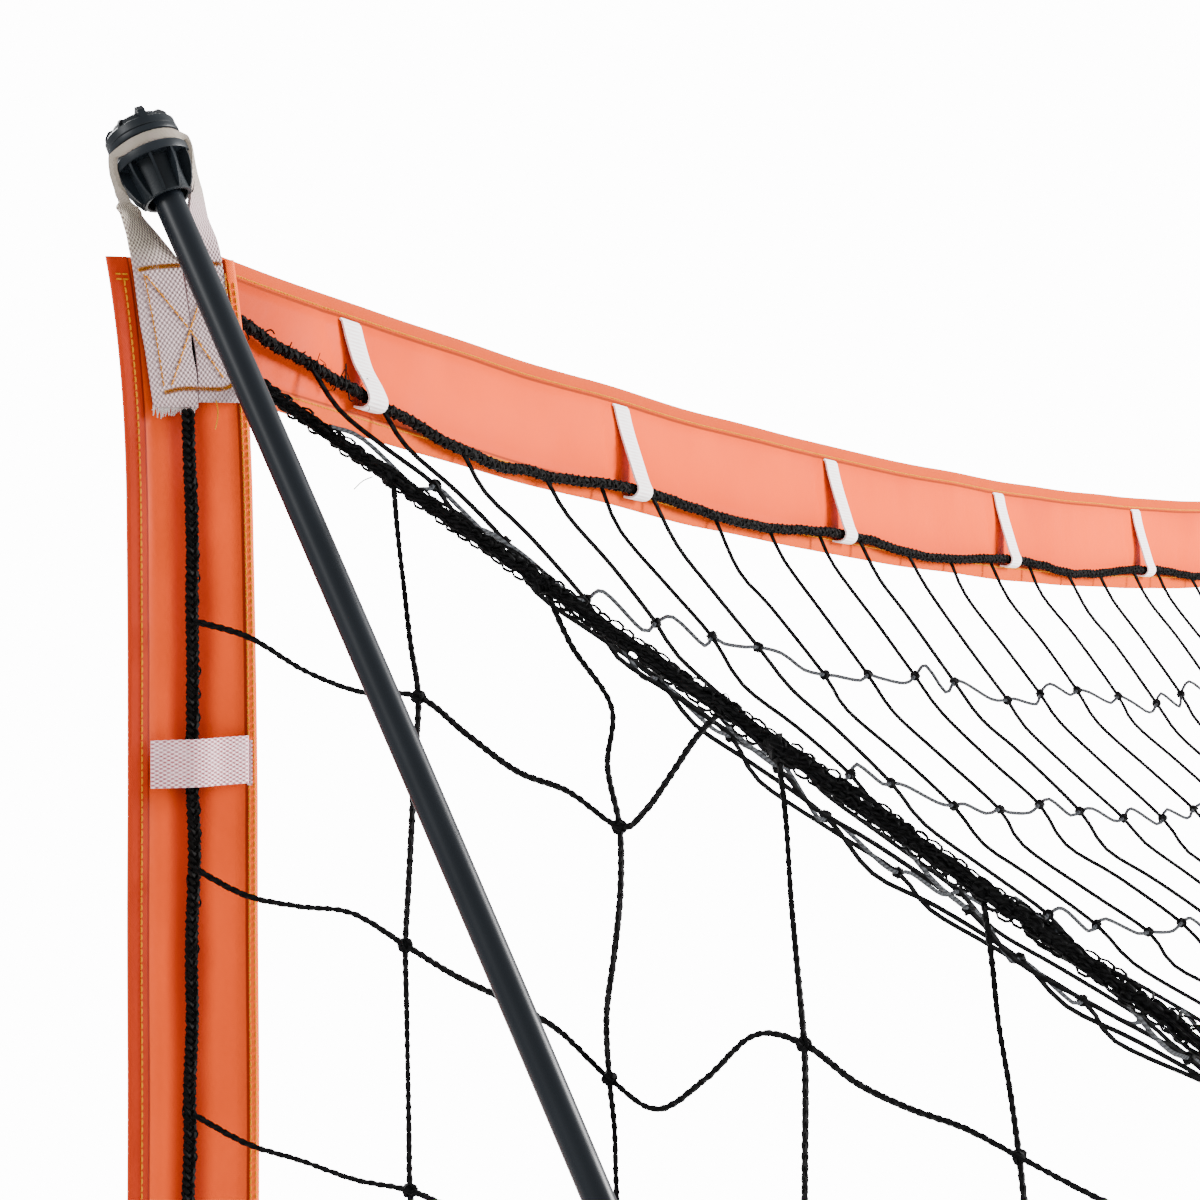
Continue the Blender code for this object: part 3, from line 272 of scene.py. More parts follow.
@dataclass(frozen=True)
class BandFinish:
    """Coated fabric: a glossy panel with long soft folds whose sheen and shade are painted as lighter and
    darker bands across it, and matter folded hems with a twill weave. Painted shade darkens the band towards
    its ends, and painted groove shadows run along the hems' inner edges.
    """

    name: str
    # light and dark: lit and shaded copies of the panel's colour, for its painted sheen and painted shade
    light: Colour
    dark: Colour
    hem: Colour
    hem_dark: Colour
    last_colour: Colour
    first_hem: float
    last_hem: float
    width: float
    # fold and fold_start: the width of one wave of painted light and shade across the band, and where its
    # first painted highlight lies; the share after them sets how strong that painted shading is
    fold: float
    fold_start: float
    painted_shading_share: float
    # length: the band's length, for the painted shade towards its ends
    length: float = 0.0
    shine: float = 0.04

    def make(self) -> bpy.types.Material:
        """Build the material. The texture map's second value runs from one hem to the other."""
        g = Graph(self.name)
        along, across = g.along_and_across()
        edge = 0.0008
        inner = self.width - self.last_hem
        hems = 1.0 - across.above(self.first_hem, edge) * (1.0 - across.above(inner, edge))
        clouds = g.noise(7.0, 3.0)
        # painted sheen and shade across the folds: the panel is lighter where this wave is high and darker
        # where it is low, with random clouds mixed in
        swing = ((across - self.fold_start) * (TURN / self.fold) + math.pi / 2.0 + clouds * 1.6 - 0.8).wave()
        tone = swing * self.painted_shading_share + (clouds - 0.5) * 1.3 + 0.5
        panel = g.blend(tone.above(0.5, 1.0), self.dark, self.light)
        # painted shade: the panel darkens towards both ends of the band, near the corners
        if self.length:
            ends = (along - self.length / 2.0).size().above(self.length / 2.0 - 0.10, 0.12) * 0.8
            panel = g.mix(ends, panel, opaque(scaled(self.dark, 0.62)))
        twill = ((along * 0.7 + across) * (TURN / 0.0011)).wave() * 0.5 + 0.5
        hem = g.blend(twill * 0.45 + g.noise(55.0) * 0.55, self.hem_dark, self.hem)
        hem = g.mix(across.above(self.width / 2.0, 0.001), hem, opaque(self.last_colour))
        # painted groove shadow: a narrow darker line along each hem's inner edge
        plain = [(across - place).size().above(0.0007, edge) for place in (self.first_hem, inner)]
        groove = opaque(scaled(self.hem_dark, 0.6))
        g.shade(
            base_color=g.mix(1.0 - plain[0] * plain[1], g.mix(hems, panel, hem), groove),
            roughness=0.34 + hems * 0.16 + clouds * 0.08,
            specular_ior_level=self.shine,
        )
        ripple = g.noise(420.0) * 0.25 + g.noise(70.0) * 0.8
        g.relief(ripple + twill * hems * 0.35 + clouds * 1.6, 0.0006, 0.5)
        return g.material


@dataclass(frozen=True)
class WebbingFinish:
    """Woven webbing: raised dots of an over-and-under weave and a little soiling."""

    name: str
    colour: Colour
    shadow: Colour
    pick: float
    end: float
    slant: float = 0.0
    depth: float = 0.0005
    soft: float = 0.5
    sewn: float = 0.0
    length: float = 0.0
    free_share: Colour = (1.0, 1.0, 1.0)

    def make(self) -> bpy.types.Material:
        """Build the material from the map's metres along and across the webbing."""
        g = Graph(self.name)
        along, across = g.along_and_across()
        picks = ((along + across * self.slant) * (TURN / self.pick)).wave()
        ends = (across * (TURN / self.end)).wave()
        weave = (picks * ends) * 0.5 + 0.5
        fuzz = g.noise(1600.0, 1.0)
        soil = g.noise(110.0, 3.0).above(0.62, 0.3) * 0.3
        tone = (weave * 0.85 + fuzz * 0.15).above(0.5, self.soft)
        woven = g.blend(tone, self.shadow, self.colour)
        if self.length:
            free = (along - self.length / 2.0).size().above(self.length / 2.0 - self.sewn, 0.02)
            low = [c * share * 0.45 for c, share in zip(self.shadow, self.free_share)]
            high = [c * share * 1.06 for c, share in zip(self.colour, self.free_share)]
            woven = g.mix(free, g.blend(tone, low, high), woven)
        g.shade(
            base_color=g.mix(soil, woven, opaque(scaled(self.colour, 0.8))),
            roughness=0.78,
            specular_ior_level=0.35,
        )
        g.relief(weave + fuzz * 0.3, self.depth, 0.9)
        return g.material


@dataclass(frozen=True)
class MouldedFinish:
    """Moulded plastic: a fine grain, faint flow marks and slightly rubbed high spots."""

    name: str
    colour: Colour
    rubbed: Colour
    roughness: float
    grain: float = 2200.0

    def make(self) -> bpy.types.Material:
        """Build the material."""
        g = Graph(self.name)
        flow = g.noise(45.0, 3.0)
        grain = g.noise(self.grain, 2.0)
        g.shade(
            base_color=g.blend(flow.above(0.62, 0.3) * 0.6, self.colour, self.rubbed),
            roughness=self.roughness + flow * 0.10 + grain * 0.06,
            specular_ior_level=0.17,
        )
        g.relief(grain + flow * 0.6, 0.00012, 0.5)
        return g.material


@dataclass(frozen=True)
class PoleFinish:
    """Drawn rod: a satin skin with faint lengthwise drawing marks."""

    name: str
    colour: Colour
    roughness: float

    def make(self) -> bpy.types.Material:
        """Build the material. Marks run along the map's first direction."""
        g = Graph(self.name)
        along, across = g.along_and_across()
        lanes = (across * (TURN / 0.0016) + (along * 9.0).wave() * 0.8).wave()
        clouds = g.noise(30.0, 3.0)
        g.shade(
            base_color=g.blend(clouds, scaled(self.colour, 0.85), scaled(self.colour, 1.15)),
            roughness=self.roughness + clouds * 0.08,
            specular_ior_level=0.20,
        )
        g.relief(lanes * 0.1 + g.noise(900.0) * 0.6, 0.00004, 0.3)
        return g.material


@dataclass(frozen=True)
class CordFinish:
    """Twisted or braided cord: slanting plies across the map with a painted sheen on their crests, and loose
    fibres.
    """

    name: str
    colour: Colour
    sheen: Colour
    lay: float
    girth: float
    roughness: float

    def make(self) -> bpy.types.Material:
        """Build the material. lay is a ply's length along the cord and girth the cord's outline."""
        g = Graph(self.name)
        along, across = g.along_and_across()
        plies = (along * (TURN / self.lay) + across * (2.0 * TURN / self.girth)).wave() * 0.5 + 0.5
        fibres = g.noise(2600.0, 2.0)
        # painted sheen: the cord turns to its sheen colour on the plies' crests
        g.shade(
            base_color=g.blend((plies * 0.7 + fibres * 0.3).above(0.6, 0.7), self.colour, self.sheen),
            roughness=self.roughness + fibres * 0.15,
            specular_ior_level=0.04,
        )
        g.relief(plies.power(0.6) + fibres * 0.35, 0.0004, 0.9)
        return g.material


@dataclass(frozen=True)
class MetalFinish:
    """Metal or coated metal with a fine orange-peel surface and small rubbed marks."""

    name: str
    colour: Colour
    worn: Colour
    metallic: float
    roughness: float

    def make(self) -> bpy.types.Material:
        """Build the material."""
        g = Graph(self.name)
        peel = g.noise(700.0, 2.0)
        marks = g.noise(26.0, 4.0)
        g.shade(
            base_color=g.blend(marks.above(0.68, 0.12) * 0.5, self.colour, self.worn),
            roughness=self.roughness + marks * 0.12,
            metallic=self.metallic,
        )
        g.relief(peel, 0.0001, 0.5)
        return g.material


class Finishes:
    """Every finish of the goal, made once."""

    def __init__(self) -> None:
        """Build the materials."""
        # the bands' light and dark colours are lit and shaded copies of their orange, for painted sheen and
        # painted shade across the folds; the crossbar's length sets its painted shade towards the corners
        self.crossbar = BandFinish(
            "crossbar_fabric", light=(0.74, 0.064, 0.0012), dark=(0.57, 0.042, 0.0007),
            hem=(0.52, 0.055, 0.0004), hem_dark=(0.42, 0.038, 0.0003), last_colour=(0.54, 0.056, 0.0004),
            first_hem=0.009, last_hem=0.011, width=0.070, fold=0.090, fold_start=0.030, painted_shading_share=0.25,
            length=3.636,
        ).make()
        self.post = BandFinish(
            "post_fabric", light=(0.80, 0.074, 0.0045), dark=(0.34, 0.019, 0.0012),
            hem=(0.52, 0.033, 0.002), hem_dark=(0.40, 0.023, 0.0015), last_colour=(0.90, 0.105, 0.002),
            first_hem=0.011, last_hem=0.006, width=0.070, fold=0.042, fold_start=0.013, painted_shading_share=0.66,
            shine=0.10,
        ).make()
        self.loop = WebbingFinish(
            "crossbar_loop_webbing", (0.95, 0.93, 0.93), (0.80, 0.68, 0.68),
            pick=0.0022, end=0.0500, depth=0.0004, soft=0.9,
        ).make()
        self.post_loop = WebbingFinish(
            "post_loop_webbing", (1.0, 0.74, 0.78), (0.38, 0.10, 0.12),
            pick=0.0038, end=0.0020, depth=0.0006, soft=0.6,
        ).make()
        self.corner = WebbingFinish(
            "corner_webbing", (0.64, 0.49, 0.50), (0.24, 0.145, 0.15),
            pick=0.0028, end=0.0026, slant=0.12, depth=0.0008, soft=0.9,
            sewn=0.072, length=0.275, free_share=(1.0, 1.16, 0.92),
        ).make()
        # the twine's second colour is a painted sheen on its plies' crests
        dark_ply, painted_ply_sheen = (0.0020, 0.0020, 0.0022), (0.0060, 0.0060, 0.0064)
        rope, rope_sheen = (0.0022, 0.0018, 0.0018), (0.0055, 0.0048, 0.0045)
        gold, gold_sheen = (0.60, 0.21, 0.003), (0.85, 0.34, 0.008)
        moulded, moulded_sheen = (0.0060, 0.0084, 0.0110), (0.015, 0.019, 0.024)
        self.plastic = MouldedFinish("tip_plastic", moulded, moulded_sheen, 0.30).make()
        self.block = MouldedFinish("foot_plastic", (0.012, 0.013, 0.014), (0.03, 0.03, 0.033), 0.46).make()
        self.pole = PoleFinish("pole_rod", (0.0048, 0.0068, 0.0100), 0.30).make()
        self.steel = MetalFinish("bar_coat", (0.016, 0.016, 0.018), (0.05, 0.05, 0.052), 0.0, 0.38).make()
        self.bright = MetalFinish("plated_steel", (0.60, 0.60, 0.61), (0.42, 0.42, 0.43), 1.0, 0.26).make()
        self.rope = self.cord("edge_rope", rope, rope_sheen, 0.006, 0.010, 0.6)
        self.seam = self.cord("seam_cord", (0.0018, 0.0018, 0.0019), painted_ply_sheen, 0.005, 0.008, 0.5)
        self.twine = self.cord("net_twine", dark_ply, painted_ply_sheen, 0.007, 0.0085, 0.6)
        # the nets' cross threads: the same black twine made dark grey, a painted sheen
        self.thin = self.cord("cross_twine_painted_sheen", (0.010, 0.011, 0.013), (0.040, 0.043, 0.048), 0.006, 0.006, 0.5)
        self.thread = self.cord("gold_thread", (0.55, 0.18, 0.006), (0.85, 0.36, 0.020), 0.001, 0.002, 0.5)
        self.top_thread = self.cord("crossbar_thread", gold, gold_sheen, 0.001, 0.002, 0.55)
        self.pale_thread = self.cord("pale_thread", (0.55, 0.46, 0.44), (0.8, 0.70, 0.68), 0.001, 0.002, 0.6)

    def cord(
        self, name: str, colour: Colour, sheen: Colour, lay: float, girth: float, roughness: float
    ) -> bpy.types.Material:
        """One finish for cord or thread."""
        return CordFinish(name, colour, sheen, lay, girth, roughness).make()


# The goal's plan, as in the solids


def clamped(share: float) -> float:
    """A share kept from 0 to 1."""
    return min(max(share, 0.0), 1.0)


@dataclass(frozen=True)
class Plan:
    """Driving sizes and places of the goal, in metres."""

    mouth_half: float = 1.83
    mouth_height: float = 1.8265
    post_top: float = 1.824
    band_sag: float = 0.121
    sag_power: float = 1.8
    sag_half: float = 1.80
    band_width: float = 0.070
    post_turn: float = math.radians(38.0)
    post_twist: float = math.radians(4.2)
    post_twist_z: float = 1.62
    post_twist_height: float = 0.18
    post_plain_z: float = 0.55
    post_twisted_z: float = 0.95
    post_foot_z: float = 0.118
    corner_lean_x: float = 0.0027
    corner_lean_v: float = -0.0082
    corner_lean_height: float = 0.12
    post_v: float = 0.003
    loop_spacing: float = 0.359
    loop_first: float = 0.131
    loop_lean: float = 0.033
    post_loop_first: float = 0.2455
    rope_drop: float = 0.0585
    rope_rise: float = 0.0285
    rope_rise_x: float = 1.50
    rope_rise_reach: float = 0.29
    rope_out: float = 0.0052
    depth: float = 1.20
    bar_z: float = 0.0165 * math.cos(math.pi / 12)
    foot_reach: float = 0.060
    foot_height: float = 0.036
    staple_rise: float = 0.034
    net_inset: float = 0.028
    pole_radius: float = 0.00715
    tip_mouth: tuple[float, float, float] = (1.8415, -0.0036, 1.8517)
    pole_heading: float = math.radians(12.0)
    pole_lean: float = math.radians(29.2)
    pole_unbend: float = math.radians(2.73)
    pole_foot_z: float = 0.056
    bow_steps: int = 12
    rear_lean: float = math.radians(-2.0)
    rear_socket_step: float = 0.075
    rear_corner_v: float = 0.95
    seam_start_z: float = 1.778
    seam_slope: float = 0.56
    seam_radius: float = 0.0065
    rear_sag: float = 0.10
    roof_droop: float = 0.125

    @property
    def mouth_y(self) -> float:
        """World y of the mouth plane."""
        return -(self.depth + self.bar_z - self.foot_reach) / 2.0

    def place(self, side: float, x: float, v: float, z: float) -> Vector:
        """World point for x, v and z on a side."""
        return Vector((side * x, self.mouth_y + v, z))

    def world(self, side: float, local: Vector) -> Vector:
        """World point of an x, v, z vector."""
        return self.place(side, *local)

    def axis(self, side: float, local: Vector) -> Vector:
        """World direction of an x, v, z direction."""
        return Vector((side * local.x, local.y, local.z))

    def crossbar_top(self, x: float) -> float:
        """Height of the crossbar band's top edge."""
        share = min(abs(x) / self.sag_half, 1.0)
        return self.mouth_height - self.band_sag * (1.0 - share ** self.sag_power)

    def rope_below(self, x: float) -> float:
        """How far the crossbar's rope lies below the band's top edge."""
        share = max(0.0, (abs(x) - self.rope_rise_x) / self.rope_rise_reach)
        return self.rope_drop - self.rope_rise * share ** 1.5

    def turn_at(self, z: float) -> float:
        """How far an upright band is turned at a height."""
        fade = clamped((z - self.post_plain_z) / (self.post_twisted_z - self.post_plain_z))
        twist = self.post_twist * math.tanh((self.post_twist_z - z) / self.post_twist_height)
        return self.post_turn + fade * twist

    def post_middle(self, z: float) -> tuple[float, float]:
        """x and v of the middle of an upright band at a height."""
        share = max(0.0, 1.0 - (self.post_top - z) / self.corner_lean_height)
        pull = share * share
        return self.mouth_half + self.corner_lean_x * pull, self.post_v + self.corner_lean_v * pull

    def post_point(self, side: float, w: float, n: float, z: float) -> Vector:
        """A point on an upright band: w across it towards its inner edge, n out from its rear face."""
        x, v = self.post_middle(z)
        turn = self.turn_at(z)
        x += -math.cos(turn) * w + math.sin(turn) * n
        v += math.sin(turn) * w + math.cos(turn) * n
        return self.place(side, x, v, z)

    def post_face(self, side: float, w: float, n: float, z: float = 0.5) -> Vector:
        """World direction for a step of w and n on an upright band at a height."""
        return self.post_point(side, w, n, z) - self.post_point(side, 0.0, 0.0, z)

    def towards_tip(self, lean: float) -> Vector:
        """Unit direction up along the front pole, as x, v, z."""
        flat, heading = math.sin(lean), self.pole_heading
        return Vector((-flat * math.sin(heading), -flat * math.cos(heading), math.cos(lean)))

    def bow_path(self, length: float) -> list[Vector]:
        """The front pole from its tip's sleeve mouth down, as x, v, z points."""
        points = [Vector(self.tip_mouth)]
        step = length / self.bow_steps
        for k in range(self.bow_steps):
            middle = (k + 0.5) * step
            lean = self.pole_lean - self.pole_unbend * middle * middle
            points.append(points[-1] - self.towards_tip(lean) * step)
        return points

    def bow_length(self) -> float:
        """Length of the front pole from the sleeve mouth to its foot."""
        low, high = 1.0, 3.0
        for _ in range(40):
            middle = (low + high) / 2.0
            if self.bow_path(middle)[-1].z > self.pole_foot_z:
                low = middle
            else:
                high = middle
        return low


PLAN = Plan()
BOW_PATH = PLAN.bow_path(PLAN.bow_length())
BOW_FOOT = BOW_PATH[-1]
SPLAY = math.atan2(BOW_FOOT.x - PLAN.mouth_half, BOW_FOOT.y)
SIDE_WAY = Vector((math.sin(SPLAY), math.cos(SPLAY), 0.0))
SIDE_OUT = Vector((math.cos(SPLAY), -math.sin(SPLAY), 0.0))


def side_line_x(v: float, inset: float = 0.0) -> float:
    """x of the side bar's line at a distance behind the mouth, or of a line inside it."""
    return PLAN.mouth_half + v * math.tan(SPLAY) - inset / math.cos(SPLAY)


def side_point(v: float, z: float, inset: float = 0.0) -> Vector:
    """x, v, z over the side bar's line, or over a line inside it."""
    return Vector((side_line_x(v, inset), v, z))


def seam_point(v: float) -> Vector:
    """x, v, z on the seam between roof net and side net."""
    return side_point(v, PLAN.seam_start_z - PLAN.seam_slope * v, PLAN.net_inset)


REAR_CORNER = seam_point(PLAN.rear_corner_v)
REAR_FOOT = side_point(BOW_FOOT.y + PLAN.rear_socket_step, PLAN.pole_foot_z)
REAR_TIP_Z = REAR_CORNER.z + 0.030
REAR_TIP_V = REAR_FOOT.y - (REAR_TIP_Z - REAR_FOOT.z) * math.tan(PLAN.rear_lean)
REAR_MOUTH = side_point(REAR_TIP_V, REAR_TIP_Z)
REAR_AXIS = (REAR_MOUTH - REAR_FOOT).normalized()
REAR_SEAM_END = side_point(PLAN.depth - 0.060, 0.060, PLAN.net_inset + 0.004)
BOTTOM_ROPE_Z = PLAN.bar_z + 0.008
NET_FRONT_HALF = PLAN.mouth_half - 0.030
# the tip fittings: radii, the groove's middle above the pole's mouth, and how deep the pole goes in
NECK_RADIUS = 0.0145
COLLAR_RADIUS = 0.0190
NECK_MIDDLE = 0.02715
PLUG_DEPTH = 0.0205
# half thickness of a band at its hems and between them, and where webbing sewn on it starts
HEM_HALF = 0.0014
CLOTH_HALF = 0.0005
SEWN_LEVEL = 0.0021


def evenly(low: float, high: float, count: int) -> list[float]:
    """Places at even steps from one to another."""
    return [low + (high - low) * k / count for k in range(count + 1)]


def uneven(reach: float, *place: float) -> float:
    """Smooth noise of a reach at a place of up to three numbers."""
    return reach * noise.noise(Vector((*place, 0.0, 0.0)[:3]))


def loop_top_x(number: int) -> float:
    """x of the upper end of one of the crossbar's belt loops, counted from the corner."""
    return PLAN.sag_half - PLAN.loop_first - number * PLAN.loop_spacing


def crossbar_rope_point(x: float) -> Vector:
    """World point on the crossbar's edge rope, which hangs a little between its belt loops."""
    first = loop_top_x(0) - PLAN.loop_lean * PLAN.rope_drop / PLAN.band_width
    passed = (first - abs(x)) / PLAN.loop_spacing
    hang = 0.0060 * math.sin(math.pi * (passed % 1.0)) ** 2 if passed > 0.0 else 0.0
    z = PLAN.crossbar_top(x) - PLAN.rope_below(x) - hang + uneven(0.0016, x * 26.0, 3.1)
    return Vector((x, PLAN.mouth_y + PLAN.rope_out, z))


def rear_top_point(share: float) -> Vector:
    """World point on the rope between the rear corners, for a share of its half length."""
    half = REAR_CORNER.x - PLAN.seam_radius - 0.0080
    z = REAR_CORNER.z - PLAN.rear_sag * (1.0 - share * share)
    return Vector((half * share, PLAN.mouth_y + PLAN.rear_corner_v, z))


# Shapes


def smooth_line(points: Sequence[Vector], step: float) -> list[Vector]:
    """A rounded line through points.

    Args:
        points: the points that it passes through.
        step: about how far apart the line's own points are, in metres.

    Returns:
        The line's points.
    """
    if len(points) < 3:
        count = max(1, round((points[-1] - points[0]).length / step))
        return [points[0].lerp(points[-1], k / count) for k in range(count + 1)]
    line = []
    for k in range(len(points) - 1):
        before = points[k - 1] if k else points[0] * 2.0 - points[1]
        after = points[k + 2] if k + 2 < len(points) else points[-1] * 2.0 - points[-2]
        first, last = points[k], points[k + 1]
        count = max(1, round((last - first).length / step))
        for j in range(count):
            t = j / count
            line.append(
                0.5
                * (
                    2.0 * first
                    + (last - before) * t
                    + (2.0 * before - 5.0 * first + 4.0 * last - after) * t * t
                    + (3.0 * first - before - 3.0 * last + after) * t ** 3
                )
            )
    line.append(points[-1].copy())
    return line


def direction_at(line: Sequence[Vector], k: int) -> Vector:
    """Unit direction of a line at one of its points."""
    return (line[min(k + 1, len(line) - 1)] - line[max(k - 1, 0)]).normalized()


def runs_along(path: Sequence[Vector]) -> list[float]:
    """The length of a path up to each of its points."""
    runs = [0.0]
    for first, last in zip(path, path[1:]):
        runs.append(runs[-1] + (last - first).length)
    return runs


def carried(path: Sequence[Vector], first: Optional[Vector] = None) -> list[Frame]:
    """A path's points with cross directions that are carried along without twist.

    Args:
        path: the points.
        first: what the second cross direction starts near.

    Returns:
        Each point, its two cross directions and its distance along the path.
    """
    found = []
    over = first
    for k, (point, run) in enumerate(zip(path, runs_along(path))):
        tangent = direction_at(path, k)
        if over is None:
            over = UP if abs(tangent.z) < 0.9 else Vector((1.0, 0.0, 0.0))
        over = (over - tangent * over.dot(tangent)).normalized()
        found.append((point, tangent.cross(over), over, run))
    return found


def circle(count: int) -> list[tuple[float, float]]:
    """Cosine and sine at even steps round a circle."""
    return [(math.cos(TURN * j / count), math.sin(TURN * j / count)) for j in range(count)]


def tumbled(rng: random.Random, lean: float) -> Matrix:
    """A turn by a random heading and a random lean up to a limit."""
    return Matrix.Rotation(rng.uniform(0.0, TURN), 3, "Z") @ Matrix.Rotation(rng.uniform(0.0, lean), 3, "X")


class Shape:
    """Faces gathered for one piece, with a texture map in metres."""

    def __init__(self) -> None:
        """Start with nothing."""
        self.points: list[Vector] = []
        self.faces: list[tuple[int, ...]] = []
        self.maps: list[tuple[float, float]] = []

    def skin(
        self,
        rings: Sequence[Sequence[Vector]],
        along: Sequence[float],
        around: Sequence[float],
        closed: bool = False,
    ) -> None:
        """Join rings of equal count.

        Args:
            rings: points of each ring.
            along: each ring's place along the piece, in metres.
            around: each ring point's place round it, with one more for the wrapped end.
            closed: join the last ring to the first one. Both ends get a cap otherwise.
        """
        base = len(self.points)
        count, total = len(rings[0]), len(rings)
        for ring in rings:
            self.points.extend(ring)
        for k in range(total if closed else total - 1):
            low = base + k * count
            high = base + ((k + 1) % total) * count
            u0 = along[k]
            u1 = along[k + 1] if k + 1 < total else u0 + (along[1] - along[0])
            for j in range(count):
                after = (j + 1) % count
                v0, v1 = around[j], around[j + 1]
                self.faces.append((low + j, low + after, high + after, high + j))
                self.maps.extend(((u0, v0), (u0, v1), (u1, v1), (u1, v0)))
        if not closed:
            first, last = list(reversed(range(count))), list(range(count))
            for order, start, u in ((first, base, along[0]), (last, base + (total - 1) * count, along[-1])):
                self.faces.append(tuple(start + j for j in order))
                self.maps.extend((u, around[j]) for j in order)

    def tube(self, path: Sequence[Vector], radius: float, sides: int = 4) -> None:
        """Sweep a round section along a path."""
        section = circle(sides)
        rings, along = [], []
        for point, across, over, run in carried(path):
            rings.append([point + (across * sine + over * cosine) * radius for cosine, sine in section])
            along.append(run)
        self.skin(rings, along, [TURN * radius * j / sides for j in range(sides + 1)])

    def ring(
        self,
        centre: Vector,
        first: Vector,
        second: Vector,
        lift: Vector,
        count: int,
        radius: float,
        lead: float = 0.0,
    ) -> None:
        """A small loop of cord: an ellipse whose sides rise from its plane.

        Args:
            centre: its middle.
            first: from the middle to where it starts.
            second: from the middle to a quarter of the way round.
            lift: how far it rises and falls.
            count: points round it.
            radius: the cord's radius.
            lead: the angle by which the rise follows the start.
        """
        line = []
        for j in range(count + 1):
            angle = TURN * (j % count) / count
            rise = lift * math.cos(2.0 * angle - lead)
            line.append(centre + first * math.cos(angle) + second * math.sin(angle) + rise)
        self.tube(line, radius)

    def strip(
        self,
        stations: Sequence[Station],
        thickness: Union[float, Sequence[float]],
        across_steps: int = 4,
        crown: float = 0.25,
    ) -> None:
        """A flat band along stations, with rounded edges.

        Args:
            stations: middle, width direction, face direction and width of each.
            thickness: the band's thickness, or one for each station.
            across_steps: spans across each face.
            crown: how much thinner the band is at its edges.
        """
        rings = []
        for k, (middle, way, face, width) in enumerate(stations):
            way, face = way.normalized(), face.normalized()
            deep = thickness if isinstance(thickness, float) else thickness[k]
            ring = []
            for sign in (1.0, -1.0):
                for j in range(across_steps + 1):
                    share = (2.0 * j / across_steps - 1.0) * sign
                    rise = deep / 2.0 * (1.0 - crown * share ** 4)
                    ring.append(middle + way * (width / 2.0 * share) + face * (rise * sign))
            rings.append(ring)
        width = max(station[3] for station in stations)
        steps = [width * j / across_steps for j in range(across_steps + 1)]
        around = steps + [width - s for s in steps] + [0.0]
        self.skin(rings, runs_along([station[0] for station in stations]), around)

    def strap(
        self,
        outline: Outline,
        step: float,
        station: Callable[[Vector, Vector], Station],
        thickness: float,
        across_steps: int,
        crown: float = 0.15,
    ) -> None:
        """A flat band bent along a rounded outline.

        Args:
            outline: corners of the bend, seen from the band's edge.
            step: about how far apart the stations are.
            station: makes one from a point of the outline and the direction there.
            thickness: the band's thickness.
            across_steps: spans across each face.
            crown: how much thinner the band is at its edges.
        """
        line = smooth_line([Vector((a, b, 0.0)) for a, b in outline], step)
        stations = [station(point, direction_at(line, k)) for k, point in enumerate(line)]
        self.strip(stations, thickness, across_steps, crown)

    def turned(self, profile: Outline, matrix: Matrix, sides: int) -> None:
        """Turn a profile of (radius, height) round the matrix's Z. A radius of 0 closes it."""
        rings = []
        for radius, height in profile:
            reach = max(radius, 1e-5)
            ring = [matrix @ Vector((reach * cosine, reach * sine, height)) for cosine, sine in circle(sides)]
            rings.append(ring)
        along = runs_along([Vector((radius, height, 0.0)) for radius, height in profile])
        around = [0.1 * j / sides for j in range(sides + 1)]
        self.skin(rings, along, around, closed=profile[0][0] > 0.0)

    def plate(self, outline: Sequence[Vector], depth: Vector) -> None:
        """A flat plate: an outline pushed along a direction."""
        rings = [[p - depth / 2.0 for p in outline], [p + depth / 2.0 for p in outline]]
        self.skin(rings, [0.0, depth.length], [0.01 * j for j in range(len(outline) + 1)])

    def lump(self, centre: Vector, size: Vector, rng: random.Random) -> None:
        """A small uneven ball, such as a knot's body."""
        sides, layers = 6, 5
        turn = tumbled(rng, 1.2)
        rings = []
        for k in range(1, layers):
            height, reach = -math.cos(math.pi * k / layers), math.sin(math.pi * k / layers)
            ring = []
            for j, (cosine, sine) in enumerate(circle(sides)):
                bump = reach * (1.0 + 0.18 * math.sin(2.0 * TURN * j / sides + 2.2 * height))
                local = Vector((cosine * bump * size.x, sine * bump * size.y, height * size.z))
                ring.append(centre + turn @ local)
            rings.append(ring)
        self.skin(rings, [0.002 * k for k in range(layers - 1)], [0.002 * j for j in range(sides + 1)])

    def piece(
        self,
        name: str,
        finish: bpy.types.Material,
        slot: Slot,
        replaced: Sequence[str] = (),
        smooth_angle: float = 50.0,
    ) -> bpy.types.Object:
        """Make the object, put it on the goal and hide the solids that it replaces.

        Args:
            name: the piece's name.
            finish: its material.
            slot: not used.
            replaced: the solids that it replaces.
            smooth_angle: edges sharper than this stay sharp, in degrees.

        Returns:
            The object.
        """
        mesh = bpy.data.meshes.new(name)
        mesh.from_pydata([p[:] for p in self.points], [], self.faces)
        layer = mesh.uv_layers.new(name="metres")
        layer.data.foreach_set("uv", [c for pair in self.maps for c in pair])
        mesh.shade_smooth()
        mesh.set_sharp_from_angle(angle=math.radians(smooth_angle))
        mesh.materials.append(finish)
        made = bpy.data.objects.new(name, mesh)
        bpy.context.collection.objects.link(made)
        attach(made, "goal")
        if replaced:
            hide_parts(*replaced)
        LOG.info("%s: %d faces", name, len(self.faces))
        return made


# Cords


def wind(
    shape: Shape,
    path: Sequence[Vector],
    count: int,
    reach: float,
    radius: float,
    pitch: float,
    sides: int = 5,
) -> None:
    """Wind plies round a path.

    Args:
        shape: where the faces go.
        path: the middle line, with points closer than a tenth of the pitch.
        count: how many plies.
        reach: distance of each ply's middle from the line.
        radius: each ply's radius.
        pitch: length of a full turn; below zero winds the other way.
        sides: points round a ply.
    """
    frames = carried(path)
    for ply in range(count):
        line = []
        for point, across, over, run in frames:
            angle = TURN * (run / pitch + ply / count)
            line.append(point + (across * math.sin(angle) + over * math.cos(angle)) * reach)
        shape.tube(line, radius, sides)


